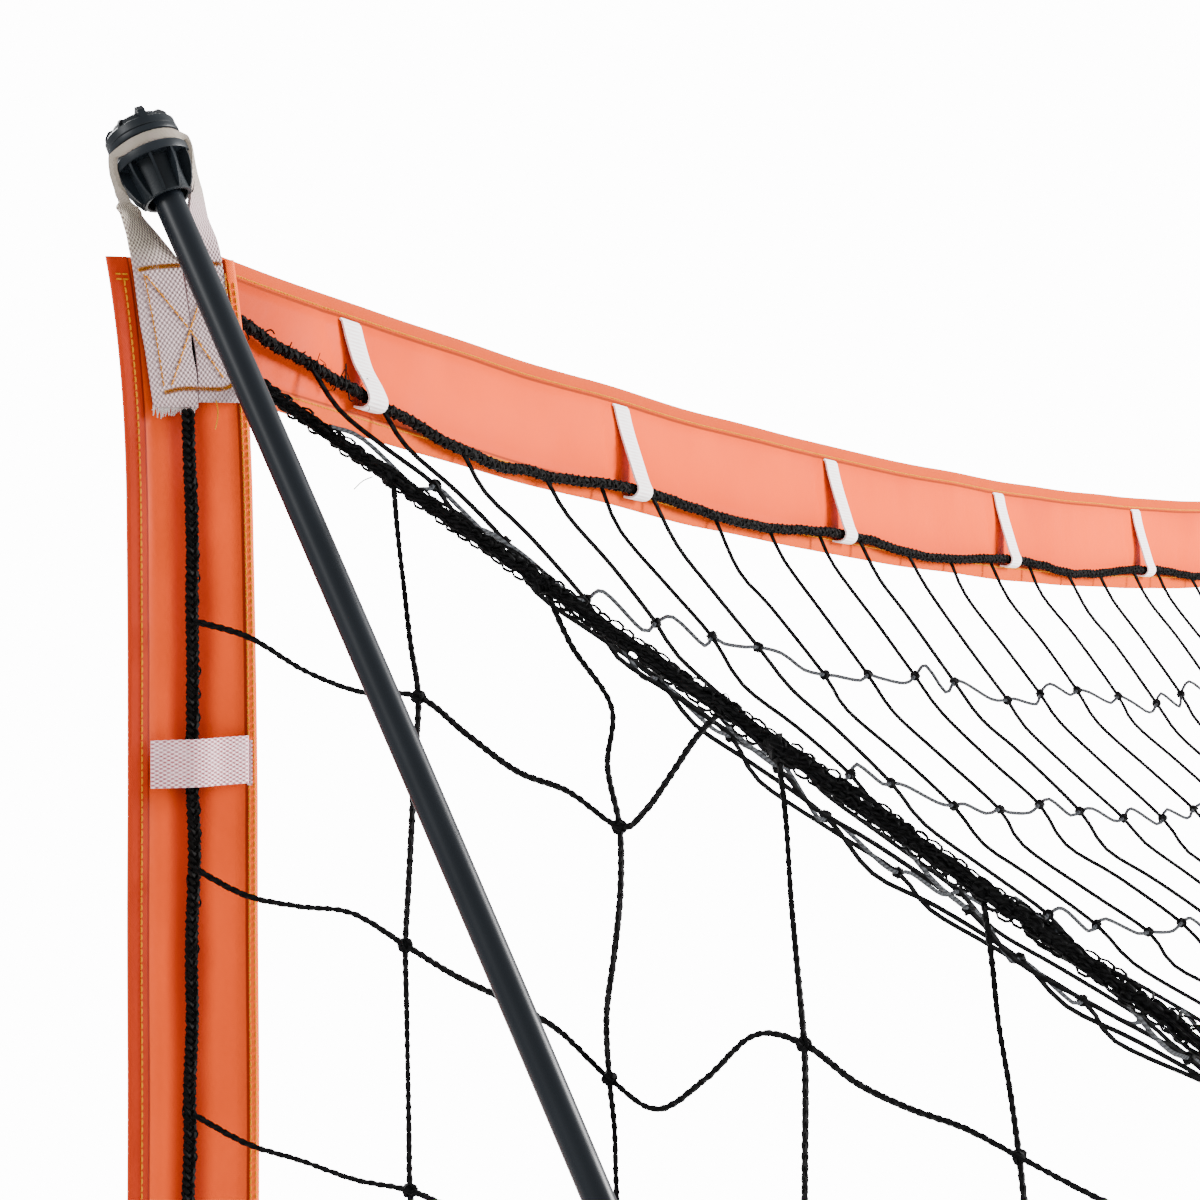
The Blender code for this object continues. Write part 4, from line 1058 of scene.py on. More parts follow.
def plait(
    shape: Shape, path: Sequence[Vector], width: float, radius: float, pitch: float, flat: Vector
) -> None:
    """Plait three strands along a path, lying flat across a direction.

    Args:
        shape: where the faces go.
        path: the middle line.
        width: how far a strand swings to each side.
        radius: each strand's radius.
        pitch: length of a strand's full swing.
        flat: the plait's face direction.
    """
    frames = carried(path, flat)
    for strand in range(3):
        line = []
        for point, across, over, run in frames:
            swing = TURN * (run / pitch + strand / 3.0)
            lift = radius * 0.85 * math.sin(2.0 * swing)
            line.append(point + across * (width * math.sin(swing)) + over * lift)
        shape.tube(line, radius, 5)


def wander(path: Sequence[Vector], reach: float, length: float, phase: float) -> list[Vector]:
    """A line that drifts round another one.

    Args:
        path: the line that it follows.
        reach: how far it drifts.
        length: over about what length.
        phase: tells one drifting line from the next.

    Returns:
        The drifting line.
    """
    made = []
    for point, across, over, run in carried(path):
        a, b = (noise.noise(Vector((run / length, phase, layer))) for layer in (0.0, 7.3))
        made.append(point + (across * a + over * b) * (2.0 * reach))
    return made


@dataclass
class EdgeRopes:
    """The ropes along the bands, the rear top edge and the ground edge."""

    finishes: Finishes

    def build(self) -> None:
        """Make every edge rope."""
        self.crossbar()
        for side in Side:
            self.upright(side)
        self.rear_and_ground()

    def crossbar(self) -> None:
        """The bobbly rope along the crossbar, wrapped all along and fuzzy at its loose end."""
        out = Vector((0.0, 0.0010, 0.0))
        path = [crossbar_rope_point(x) + out for x in evenly(-NET_FRONT_HALF, NET_FRONT_HALF, 2600)]
        shape = Shape()
        wind(shape, path, 2, 0.0016, 0.0017, 0.0125, 5)
        wind(shape, path, 1, 0.0029, 0.0011, -0.0048, 4)
        wind(shape, path, 1, 0.0026, 0.0009, 0.0079, 4)
        rng = random.Random(5)
        for side in Side:
            self.fuzz(shape, side.value, rng)
        shape.piece("crossbar_rope_plies", self.finishes.rope, Slot.ROPE, ["crossbar_rope"])

    def fuzz(self, shape: Shape, side: float, rng: random.Random) -> None:
        """Loose fibres and small kinked ends on the rope near the corner."""
        for _ in range(26):
            x = rng.uniform(1.655, 1.795)
            start = crossbar_rope_point(side * x) + Vector((0.0, 0.002, 0.0))
            length = rng.uniform(0.004, 0.013)
            way = Vector((rng.uniform(-1.0, 1.0), rng.uniform(-0.2, 0.8), rng.uniform(-1.0, 0.8)))
            way.normalize()
            bend = Vector((rng.uniform(-1.0, 1.0), 0.3, rng.uniform(-1.0, 1.0))) * length * 0.4
            line = smooth_line([start, start + way * length * 0.5 + bend, start + way * length], 0.0012)
            shape.tube(line, rng.choice((0.00022, 0.00045)))

    def upright(self, side: Side) -> None:
        """The plaited rope on an upright band, with small open loops along one side."""
        s, label = side.value, side.label
        count, spare = 1300, 20
        path = []
        for z in evenly(PLAN.post_foot_z + 0.004, PLAN.post_top - 0.0740, count):
            w = -0.0040 + 0.0018 * math.sin(z * 9.0) + uneven(0.0012, z * 24.0, 1.7)
            path.append(PLAN.post_point(s, w, PLAN.rope_out + 0.0004, z))
        shape = Shape()
        flat = PLAN.post_face(s, 0.0, 1.0)
        across = PLAN.post_face(s, 1.0, 0.0)
        plait(shape, path, 0.0022, 0.00145, 0.0105, flat)
        rng = random.Random(9)
        for k in range(spare, count - spare, 9):
            shift = across * rng.choice((-1.0, 1.0)) * rng.uniform(0.0014, 0.0024)
            shape.ring(path[k] + shift, across * 0.0016, UP * 0.0026, flat * 0.0006, 9, 0.00055)
        drops = (0.034, 0.045, 0.056, 0.068)
        shape.tube([PLAN.post_point(s, 0.0032, 0.0021, PLAN.post_top - drop) for drop in drops], 0.0010, 5)
        shape.piece("post_rope_plait_" + label, self.finishes.rope, Slot.ROPE, ["post_rope_" + label])

    def rear_and_ground(self) -> None:
        """The ropes between the rear corners and along the ground frame."""
        path = smooth_line([rear_top_point(share) for share in evenly(-1.0, 1.0, 20)], 0.0025)
        shape = Shape()
        wind(shape, path, 3, 0.0021, 0.0019, 0.016)
        shape.piece("rear_top_rope_plies", self.finishes.rope, Slot.ROPE, ["rear_top_rope"])
        back_v = PLAN.depth - PLAN.net_inset
        corner_x = side_line_x(back_v, PLAN.net_inset)
        cut = 0.022
        half = [(side_line_x(v, PLAN.net_inset), v) for v in (0.075, 0.4, 0.75, back_v - 0.15, back_v - cut)]
        half += [(corner_x - cut * 0.2, back_v - cut * 0.25)]
        half += [(corner_x - step, back_v) for step in (cut, 0.3)]
        plan = half + [(0.0, back_v)] + [(-x, v) for x, v in reversed(half)]
        route = [PLAN.place(1.0, x, v, BOTTOM_ROPE_Z) for x, v in plan]
        shape = Shape()
        wind(shape, smooth_line(route, 0.003), 2, 0.0017, 0.0017, 0.013)
        shape.piece("bottom_rope_plies", self.finishes.rope, Slot.ROPE, ["bottom_rope"])


@dataclass
class SeamBundle:
    """The chain-stitched bundle of cords where the side net meets the roof net."""

    finishes: Finishes
    side: Side

    def route(self) -> list[Vector]:
        """World points down the bundle's middle, from the mouth's corner to the ground."""
        s = self.side.value
        start, stop = 0.012, PLAN.rear_corner_v - 0.03
        points = [seam_point(start + (stop - start) * k / 9.0) for k in range(10)]
        points += [REAR_CORNER.lerp(REAR_SEAM_END, 0.03 + 0.97 * k / 6.0) for k in range(7)]
        points.append(side_point(REAR_SEAM_END.y + 0.004, BOTTOM_ROPE_Z + 0.003, PLAN.net_inset))
        return smooth_line([PLAN.world(s, point) for point in points], 0.0025)

    def spread(self, share: float) -> float:
        """How wide the bundle is, against its widest part, for a share of its length."""
        return 0.42 + 0.34 * min(share / 0.15, 1.0)

    def links(self, shape: Shape, path: Sequence[Vector], offset: Vector, rng: random.Random) -> None:
        """A chain of tight open loops along one edge of the bundle.

        Args:
            shape: where the faces go.
            path: the bundle's middle line.
            offset: from the middle line to the chain.
            rng: the source of small differences.
        """
        step = 3
        for k in range(1, len(path) - 2 * step, step):
            run = (path[k + step] - path[k]).normalized()
            way = (offset - run * offset.dot(run)).normalized()
            reach = self.spread(k / len(path)) * rng.uniform(0.80, 1.12)
            centre = (path[k] + path[k + step]) / 2.0 + offset * reach
            side = run.cross(way)
            tilt = rng.uniform(-1.1, 1.1)
            wide = (way * math.cos(tilt) + side * math.sin(tilt)) * rng.uniform(0.0013, 0.0021)
            long = run * rng.uniform(0.0034, 0.0046)
            shape.ring(centre, long, wide, side * 0.0007, 7, 0.00070)

    def build(self) -> None:
        """Make the bundle."""
        rng = random.Random(40 + int(self.side.value))
        path = self.route()
        total = len(path) - 1
        shape = Shape()
        for strands, reach, length, phase, radius, sides in (
            (6, 0.0026, 0.030, 0.0, 0.0017, 5),
            (7, 0.0052, 0.045, 20.0, 0.0008, 4),
        ):
            for strand in range(strands):
                line = wander(path, reach, length, phase + 3.0 * strand)
                shape.tube(self.gathered(path, line), radius, sides)
        up = Vector((0.0, 0.5, 0.86)).normalized()
        out = Vector((self.side.value, 0.0, 0.0))
        outer, lower = up.lerp(out, 0.5), out.lerp(-up, 0.4)
        for way, reach in ((up, 0.0054), (-up, 0.0052), (outer, 0.0046), (lower, 0.0042)):
            self.links(shape, path, way.normalized() * reach, rng)
        for _ in range(26):
            k = rng.randrange(10, total - 10)
            start = path[k] + up * rng.choice((-1.0, 1.0)) * 0.005
            way = Vector((rng.uniform(-0.4, 0.4), rng.uniform(-1.0, 1.0), rng.uniform(-1.0, 1.0)))
            way.normalize()
            length = rng.uniform(0.003, 0.008)
            points = [start, start + way * length + up * 0.002, start + way * length * 1.6]
            shape.tube(smooth_line(points, 0.0015), 0.0003)
        label = self.side.label
        shape.piece("seam_bundle_" + label, self.finishes.seam, Slot.ROPE, ["seam_rope_" + label])

    def gathered(self, path: Sequence[Vector], line: Sequence[Vector]) -> list[Vector]:
        """A drifting line pulled in where the bundle is narrow."""
        total = len(path) - 1
        return [p + (q - p) * self.spread(k / total) for k, (p, q) in enumerate(zip(path, line))]


# Nets


@dataclass
class Twine:
    """Makes the strings and knots of a net."""

    radius: float = 0.00135
    step: float = 0.010
    sides: int = 5
    twisted: bool = False

    def string(self, shape: Shape, points: Sequence[Vector], radius: Optional[float] = None) -> None:
        """A string through points, of two plies where it is twisted."""
        size = radius or self.radius
        if self.twisted:
            wind(shape, smooth_line(points, 0.0026), 2, size * 0.38, size * 0.98, 0.0098, sides=4)
        else:
            shape.tube(smooth_line(points, self.step), size, self.sides)

    def knot(self, shape: Shape, centre: Vector, rng: random.Random, scale: float = 1.0) -> None:
        """A small tight knot."""
        shape.lump(centre, Vector((0.0026, 0.0025, 0.0036)) * scale, rng)
        for _ in range(3):
            turned = tumbled(rng, 2.0) * (0.0027 * scale)
            first, second, lift = (turned.col[k] for k in range(3))
            shape.ring(centre, first, second, lift * 0.25, 8, 0.0010 * scale, lead=math.pi / 2.0)


@dataclass
class SheetNet:
    """A four-sided net hanging between four edges."""

    finishes: Finishes
    node: str
    point: Callable[[float, float], Vector]
    columns: Sequence[Callable[[float], float]]
    mesh: float
    seed: int
    hang: float = 0.010
    slack: float = 0.008
    edge: Optional[Callable[[float, float], Vector]] = None

    def build(self) -> None:
        """Make the strings down the net, the wavy threads across it and the knots."""
        rng = random.Random(self.seed)
        twine = Twine()
        strings, threads = Shape(), Shape()
        rows = arc_shares(self.point, self.mesh)
        grid = []
        for column in self.columns:
            line = []
            for k, w in enumerate(rows):
                if 0 < k < len(rows) - 1:
                    w += rng.uniform(-0.0035, 0.0035)
                line.append(self.point(column(w), w))
            grid.append(line)
        for line in grid:
            route = [line[0]]
            for first, last in zip(line, line[1:]):
                away = (last - first).normalized().cross(UP).normalized()
                hang = UP * rng.uniform(0.5, 1.2) * self.hang
                for low, high, share, drift in ((0.15, 0.25, 1.0, 0.002), (0.5, 0.65, 0.45, 0.004)):
                    middle = first.lerp(last, rng.uniform(low, high)) - hang * share
                    route.append(middle + away * rng.uniform(-drift, drift))
                route.append(last)
            twine.string(strings, route)
        edge = self.edge or self.point
        for k in range(1, len(rows) - 1):
            knots = [edge(-1.0, rows[k])] + [line[k] for line in reversed(grid)] + [edge(1.0, rows[k])]
            down = Vector((0.0, 0.35, -1.0)) * self.slack
            route = [knots[0]]
            for first, last in zip(knots, knots[1:]):
                dip, rise = rng.uniform(0.2, 1.1), rng.uniform(0.0, 1.1) * rng.choice((1.0, 1.0, -0.4))
                route += [first.lerp(last, rng.uniform(0.2, 0.34)) + down * dip]
                route += [first.lerp(last, rng.uniform(0.62, 0.8)) - down * rise, last]
            twine.string(threads, route, 0.00122)
            for knot in knots[1:-1]:
                twine.knot(strings, knot, rng)
        strings.piece(self.node + "_strings", self.finishes.twine, Slot.TWINE, [self.node])
        # the cross threads are a dark grey copy of the twine, a painted sheen
        threads.piece(self.node + "_threads", self.finishes.thin, Slot.TWINE)


def roof_point(share: float, w: float) -> Vector:
    """World point of the hanging roof net, for shares of its half width and of its depth."""
    front = crossbar_rope_point(NET_FRONT_HALF * share)
    droop = PLAN.roof_droop * math.sin(math.pi * w ** 0.7) * (1.0 - abs(share) ** 5.5)
    return front.lerp(rear_top_point(share), w) - UP * droop


def roof_edge(share: float, w: float) -> Vector:
    """World point on the seam where a row of the roof net ends."""
    return PLAN.world(share, seam_point(PLAN.rear_corner_v * w)) + UP * 0.004


def back_point(share: float, w: float) -> Vector:
    """World point of the back net, for shares of its half width and of its height."""
    top = rear_top_point(share)
    half = REAR_SEAM_END.x - 0.012
    low = Vector((half * share, PLAN.mouth_y + PLAN.depth - PLAN.net_inset, BOTTOM_ROPE_Z))
    return top.lerp(low, w)


def arc_shares(point: Callable[[float, float], Vector], spacing: float) -> list[float]:
    """Shares of a net's depth where its knots lie, a mesh apart along the middle string."""
    column, steps = 0.3, 400
    shares, run, last = [0.0], 0.0, point(column, 0.0)
    for k in range(1, steps + 1):
        w = k / steps
        here = point(column, w)
        run += (here - last).length
        last = here
        if run >= spacing:
            shares.append(w)
            run -= spacing
    if 1.0 - shares[-1] < 0.05:
        shares.pop()
    return shares + [1.0]


@dataclass
class RoofAndBack:
    """The net over the goal and the net behind it."""

    finishes: Finishes
    spacing: float = 0.0925
    outermost: float = 1.711
    mesh: float = 0.120
    shifts: tuple[int, ...] = (-2, 8, 1, -18, -5, 10, 0, -2, 0, 14, 7, 7, 10, 9, 2, 10, 9, 32, 21)

    def build(self) -> None:
        """Make both nets. The strings of each half start at an even spacing, each shifted a little, in mm."""
        half_rear = REAR_CORNER.x - 0.0145

        def straight(x: float) -> Callable[[float], float]:
            """The share of the half width that stays at one x as the net widens."""
            return lambda w: x / (NET_FRONT_HALF + (half_rear - NET_FRONT_HALF) * w)

        half = [self.outermost - self.spacing * k + 0.001 * shift for k, shift in enumerate(self.shifts)]
        places = half + [-x for x in reversed(half)]
        columns = [straight(x) for x in places]
        SheetNet(self.finishes, "roof_net", roof_point, columns, self.mesh, 11, edge=roof_edge).build()
        columns = [(lambda w, share=x / half_rear: share) for x in places]
        SheetNet(self.finishes, "back_net", back_point, columns, self.mesh, 12, hang=0.002).build()


# (column, row) of the side net's knots whose places show: how far back and how high
SEEN_KNOTS = {
    (1, 0): (0.121, 1.613), (2, 0): (0.238, 1.556),
    (1, 1): (0.113, 1.494), (2, 1): (0.235, 1.440), (3, 1): (0.340, 1.463), (4, 1): (0.454, 1.423),
    (1, 2): (0.117, 1.377), (2, 2): (0.239, 1.352), (3, 2): (0.342, 1.368),
}
# how far its strings that show stray from straight at each quarter, in mm, by their first knot
SEEN_SWAYS = {
    ("row", 0, 0): (1, -6, -7), ("row", 1, 0): (-3, -5, 1), ("row", 2, 0): (-6, -3, 1),
    ("row", 0, 1): (-4, 0, 6), ("row", 1, 1): (1, 5, 7), ("row", 2, 1): (-18, -8, 8),
    ("row", 3, 1): (-5, -4, 0), ("row", 4, 1): (-2, -2, -1), ("row", 0, 2): (-5, -4, -4),
    ("column", 1, -1): (-1, -1, -1), ("column", 2, -1): (5, 17, 4), ("column", 3, -1): (1, 0, 0),
    ("column", 4, -1): (0, -1, 0), ("column", 1, 0): (0, 0, 0), ("column", 2, 0): (2, 0, -3),
    ("column", 1, 1): (0, 0, 0), ("column", 2, 1): (2, 2, 2), ("column", 3, 1): (1, 1, 1),
}


@dataclass
class SideNet:
    """The net between upright band, seam, rear seam and side bar."""

    finishes: Finishes
    side: Side
    spacing: float = 0.1175
    first_row: float = 1.648
    row_step: float = 0.120
    slope: float = 0.27
    columns: int = 9
    rows: int = 14
    first_row_end: float = 0.297
    column_tops: dict[int, float] = field(default_factory=lambda: {1: 0.106, 2: 0.196, 3: 0.327, 4: 0.434})

    def at(self, s: float, z: float, out: float = 0.0) -> Vector:
        """World point in the net's plane: s back along the side bar's line, and z up."""
        start = Vector((PLAN.mouth_half, 0.0, z)) - SIDE_OUT * (PLAN.net_inset - out)
        return PLAN.world(self.side.value, start + SIDE_WAY * s)

    def top_height(self, s: float) -> float:
        """Height of the seam above a place along the side."""
        v = s * math.cos(SPLAY)
        if v <= REAR_CORNER.y:
            return PLAN.seam_start_z - PLAN.seam_slope * v
        share = (v - REAR_CORNER.y) / (REAR_SEAM_END.y - REAR_CORNER.y)
        return REAR_CORNER.z + (REAR_SEAM_END.z - REAR_CORNER.z) * share

    def swayed(self, first: Vector, last: Vector, sway: Sequence[float], way: Vector) -> list[Vector]:
        """The rest of a string after one knot, off the straight line by so many mm at each quarter."""
        return [first.lerp(last, 0.25 * (k + 1)) + way * (0.001 * off) for k, off in enumerate(sway)] + [last]

    def row_height(self, row: int, s: float) -> float:
        """Height of a row of meshes at a place along the side."""
        start = self.first_row - self.row_step * row
        return start - self.slope * s * max(start, 0.0) / self.first_row

    def build(self) -> None:
        """Make the strings, the knots and their slack."""
        rng = random.Random(70)
        twine = Twine(step=0.008, twisted=True)
        shape = Shape()
        knots = self.knots(rng)
        for row in range(self.rows):
            line = [(c, knots[(c, row)]) for c in range(self.columns + 1) if (c, row) in knots]
            after = [point for _, point in line[1:]] + [self.row_end(row)]
            route = [line[0][1]]
            for (column, first), last in zip(line, after):
                dip, twist = rng.uniform(-7.0, 12.0), rng.uniform(-5.0, 5.0)
                sway = SEEN_SWAYS.get(("row", column, row), (-dip - twist, -dip, twist - dip))
                route += self.swayed(first, last, sway, UP)
            twine.string(shape, route)
        along = PLAN.axis(self.side.value, SIDE_WAY)
        for column in range(1, self.columns + 1):
            line = [(row, knots[(column, row)]) for row in range(self.rows) if (column, row) in knots]
            if not line:
                continue
            s = self.spacing * column
            top_s = self.column_tops.get(column, s - 0.012)
            route = [self.at(top_s, self.top_height(top_s) - 0.004)]
            twine.knot(shape, route[0], rng, 2.0 if column == 3 else 1.4)
            seen = [-1] + [row for row, _ in line]
            for before, last in zip(seen, [point for _, point in line] + [self.at(s, BOTTOM_ROPE_Z + 0.003)]):
                first = route[-1]
                swing = rng.uniform(-6.0, 6.0)
                sway = SEEN_SWAYS.get(("column", column, before), (0.7 * swing, swing, 0.7 * swing))
                route += self.swayed(first, last, sway, along)
            twine.string(shape, route)
        for (column, _), knot in knots.items():
            if column:
                twine.knot(shape, knot, rng, 1.12)
        label = self.side.label
        shape.piece("side_net_strings_" + label, self.finishes.twine, Slot.TWINE, ["side_net_" + label])

    def knots(self, rng: random.Random) -> dict[tuple[int, int], Vector]:
        """World points of all knots, with the rows' ends on the upright's rope as column 0."""
        found: dict[tuple[int, int], Vector] = {}
        for row in range(self.rows):
            z = self.first_row - self.row_step * row
            found[(0, row)] = PLAN.post_point(self.side.value, -0.003, PLAN.rope_out + 0.003, z)
            for column in range(1, self.columns + 1):
                s = self.spacing * column + rng.uniform(-0.005, 0.005)
                height = self.row_height(row, s) + rng.uniform(-0.006, 0.006)
                clear = 0.045 if row == 0 else 0.02
                if (column, row) in SEEN_KNOTS:
                    s, height = SEEN_KNOTS[(column, row)]
                    clear = 0.0
                if BOTTOM_ROPE_Z + 0.02 < height < self.top_height(s) - clear:
                    found[(column, row)] = self.at(s, height, rng.uniform(-0.003, 0.003))
        return found

    def row_end(self, row: int) -> Vector:
        """Where a row meets the seam or the rear seam."""
        if row == 0:
            return self.at(self.first_row_end, self.top_height(self.first_row_end) - 0.004)
        s = 0.02
        while s < 1.25 and self.row_height(row, s) < self.top_height(s):
            s += 0.002
        return self.at(s, self.top_height(s))


# Bands


@dataclass
class Stitching:
    """Runs of thread on top of a surface."""

    length: float = 0.0026
    gap: float = 0.0010
    radius: float = 0.00045

    def run(self, shape: Shape, line: Sequence[Vector], face: Vector) -> None:
        """Lay stitches along a line of points on a surface that faces one way."""
        runs = runs_along(line)
        index = 0
        for k in range(int(runs[-1] / (self.length + self.gap))):
            low = k * (self.length + self.gap)
            points = []
            for share in (0.0, 0.25, 0.75, 1.0):
                target = low + self.length * share
                while index < len(runs) - 2 and runs[index + 1] < target:
                    index += 1
                while index > 0 and runs[index] > target:
                    index -= 1
                part = (target - runs[index]) / max(runs[index + 1] - runs[index], 1e-9)
                rise = -0.0002 if share in (0.0, 1.0) else self.radius * 0.7
                points.append(line[index].lerp(line[index + 1], part) + face * rise)
            shape.tube(points, self.radius)


def band_cloth(surface: Surface, places: Sequence[float], start: float, hems: tuple[float, float]) -> Shape:
    """A band's cloth with its two rounded hems.

    Args:
        surface: a point of the band, for a place along it, one across it and one out of it.
        places: where it is drawn, along it.
        start: what the texture map adds to those places.
        hems: width of the first and of the last hem.
    """
    width = PLAN.band_width
    first_hem, last_hem = hems
    inner = width - first_hem - last_hem
    rising = [(0.0, 0.35), (0.0006, 0.8), (0.0018, 1.0)]
    shares = rising + [(first_hem - 0.0012, 1.0), (first_hem - 0.0002, 0.75), (first_hem + 0.0006, 0.0)]
    shares += [(first_hem + inner * k / 8.0, 0.0) for k in range(1, 8)]
    shares += [(width - last_hem - 0.0006, 0.0), (width - last_hem + 0.0002, 0.75)]
    shares += [(width - w, share) for w, share in [(last_hem - 0.0012, 1.0)] + rising[::-1]]
    section = [(w, CLOTH_HALF + (HEM_HALF - CLOTH_HALF) * share) for w, share in shares]
    section += [(w, -half) for w, half in reversed(section)]
    shape = Shape()
    rings = [[surface(place, w, half) for w, half in section] for place in places]
    shape.skin(rings, [place + start for place in places], [w for w, _ in section] + [0.0])
    return shape


def sew_rows(surface: Surface, places: Sequence[float], rows: Sequence[float], face: Vector) -> Shape:
    """Stitches along rows of a band, on both of its faces."""
    shape = Shape()
    for w in rows:
        for sign in (1.0, -1.0):
            line = [surface(place, w, HEM_HALF * sign) for place in places]
            Stitching().run(shape, line, face * sign)
    return shape


@dataclass
class CrossbarBand:
    """The sagging band over the mouth."""

    finishes: Finishes
    first_hem: float = 0.009
    last_hem: float = 0.011
    loop_reach: float = 0.0200

    def width(self, x: float) -> float:
        """The band's width, which grows a little away from its ends."""
        return 0.0665 + 0.0080 * (1.0 - min(abs(x) / PLAN.sag_half, 1.0) ** 2)

    def surface(self, x: float, w: float, n: float = 0.0) -> Vector:
        """A point of the band at x, w down from its top edge at its plain width, with its creases."""
        top = PLAN.crossbar_top(x)
        share = w / PLAN.band_width
        w = share * self.width(x)
        belly = math.sin(math.pi * clamped(share))
        out = (uneven(0.0018, x * 11.0, share * 1.6) + uneven(0.0008, x * 42.0, share * 3.0, 5.0)) * belly
        passed = (loop_top_x(0) - PLAN.loop_lean * share - abs(x)) / PLAN.loop_spacing
        near = (passed - round(passed)) * PLAN.loop_spacing
        fold = math.exp(-(((near + 0.019) / 0.0050) ** 2)) + 0.6 * math.exp(-(((near - 0.021) / 0.0060) ** 2))
        out -= 0.0020 * fold * belly
        return Vector((x, PLAN.mouth_y + out + n, top - w + uneven(0.0010, x * 8.0, 9.0)))

    def build(self) -> None:
        """Make the band, its stitching and its belt loops."""
        reach = PLAN.mouth_half - 0.012
        hems = (self.first_hem, self.last_hem)
        shape = band_cloth(self.surface, evenly(-reach, reach, 520), reach, hems)
        band = shape.piece("crossbar_band_fabric", self.finishes.crossbar, Slot.BAND, ["crossbar_band"])
        threads = self.stitches(reach)
        loops = self.loops()

    def stitches(self, reach: float) -> bpy.types.Object:
        """The thread along both hems, on both faces."""
        rows = (self.first_hem - 0.0018, PLAN.band_width - self.last_hem + 0.0020)
        shape = sew_rows(self.surface, evenly(-reach, reach, 360), rows, Vector((0.0, 1.0, 0.0)))
        return shape.piece("crossbar_stitching", self.finishes.top_thread, Slot.BAND)

    def loops(self) -> bpy.types.Object:
        """The belt loops that hold the rope."""
        shape = Shape()
        for side in Side:
            for k in range(5):
                self.loop(shape, side.value, loop_top_x(k))
        return shape.piece("crossbar_belt_loops", self.finishes.loop, Slot.WEBBING)

    def loop(self, shape: Shape, side: float, x: float) -> None:
        """One belt loop, drawn out by the rope near its lower end."""
        low_x = x - PLAN.loop_lean * PLAN.rope_drop / PLAN.band_width
        rise = (PLAN.crossbar_top(x + 0.01) - PLAN.crossbar_top(x - 0.01)) / 0.02
        slope = Vector((1.0, 0.0, side * rise)).normalized()
        clear = 0.0056
        middle = PLAN.rope_below(low_x)
        outline = [(0.0098, 0.0012), (0.0112, 0.0022), (0.020, 0.0030), (0.032, 0.0050)]
        outline.append((middle - 0.0075, 0.0092))
        for k in range(6):
            angle = math.radians(100.0 - 110.0 * k / 5.0)
            out = PLAN.rope_out + 0.0008 + clear * math.sin(angle)
            outline.append((middle + clear * math.cos(angle), out))
        outline.append((middle + clear - 0.0006, 0.0018))

        def station(point: Vector, run: Vector) -> Station:
            """A station at a drop below the band's top and a place out of it."""
            left = max(0.0, 1.0 - point.x / PLAN.rope_drop)
            here = low_x + self.loop_reach * left ** 1.3
            base = PLAN.place(side, here, point.y, PLAN.crossbar_top(here) - point.x)
            return base, slope, Vector((0.0, run.x, run.y)), 0.0215

        shape.strap(outline, 0.0016, station, 0.0013, 6)


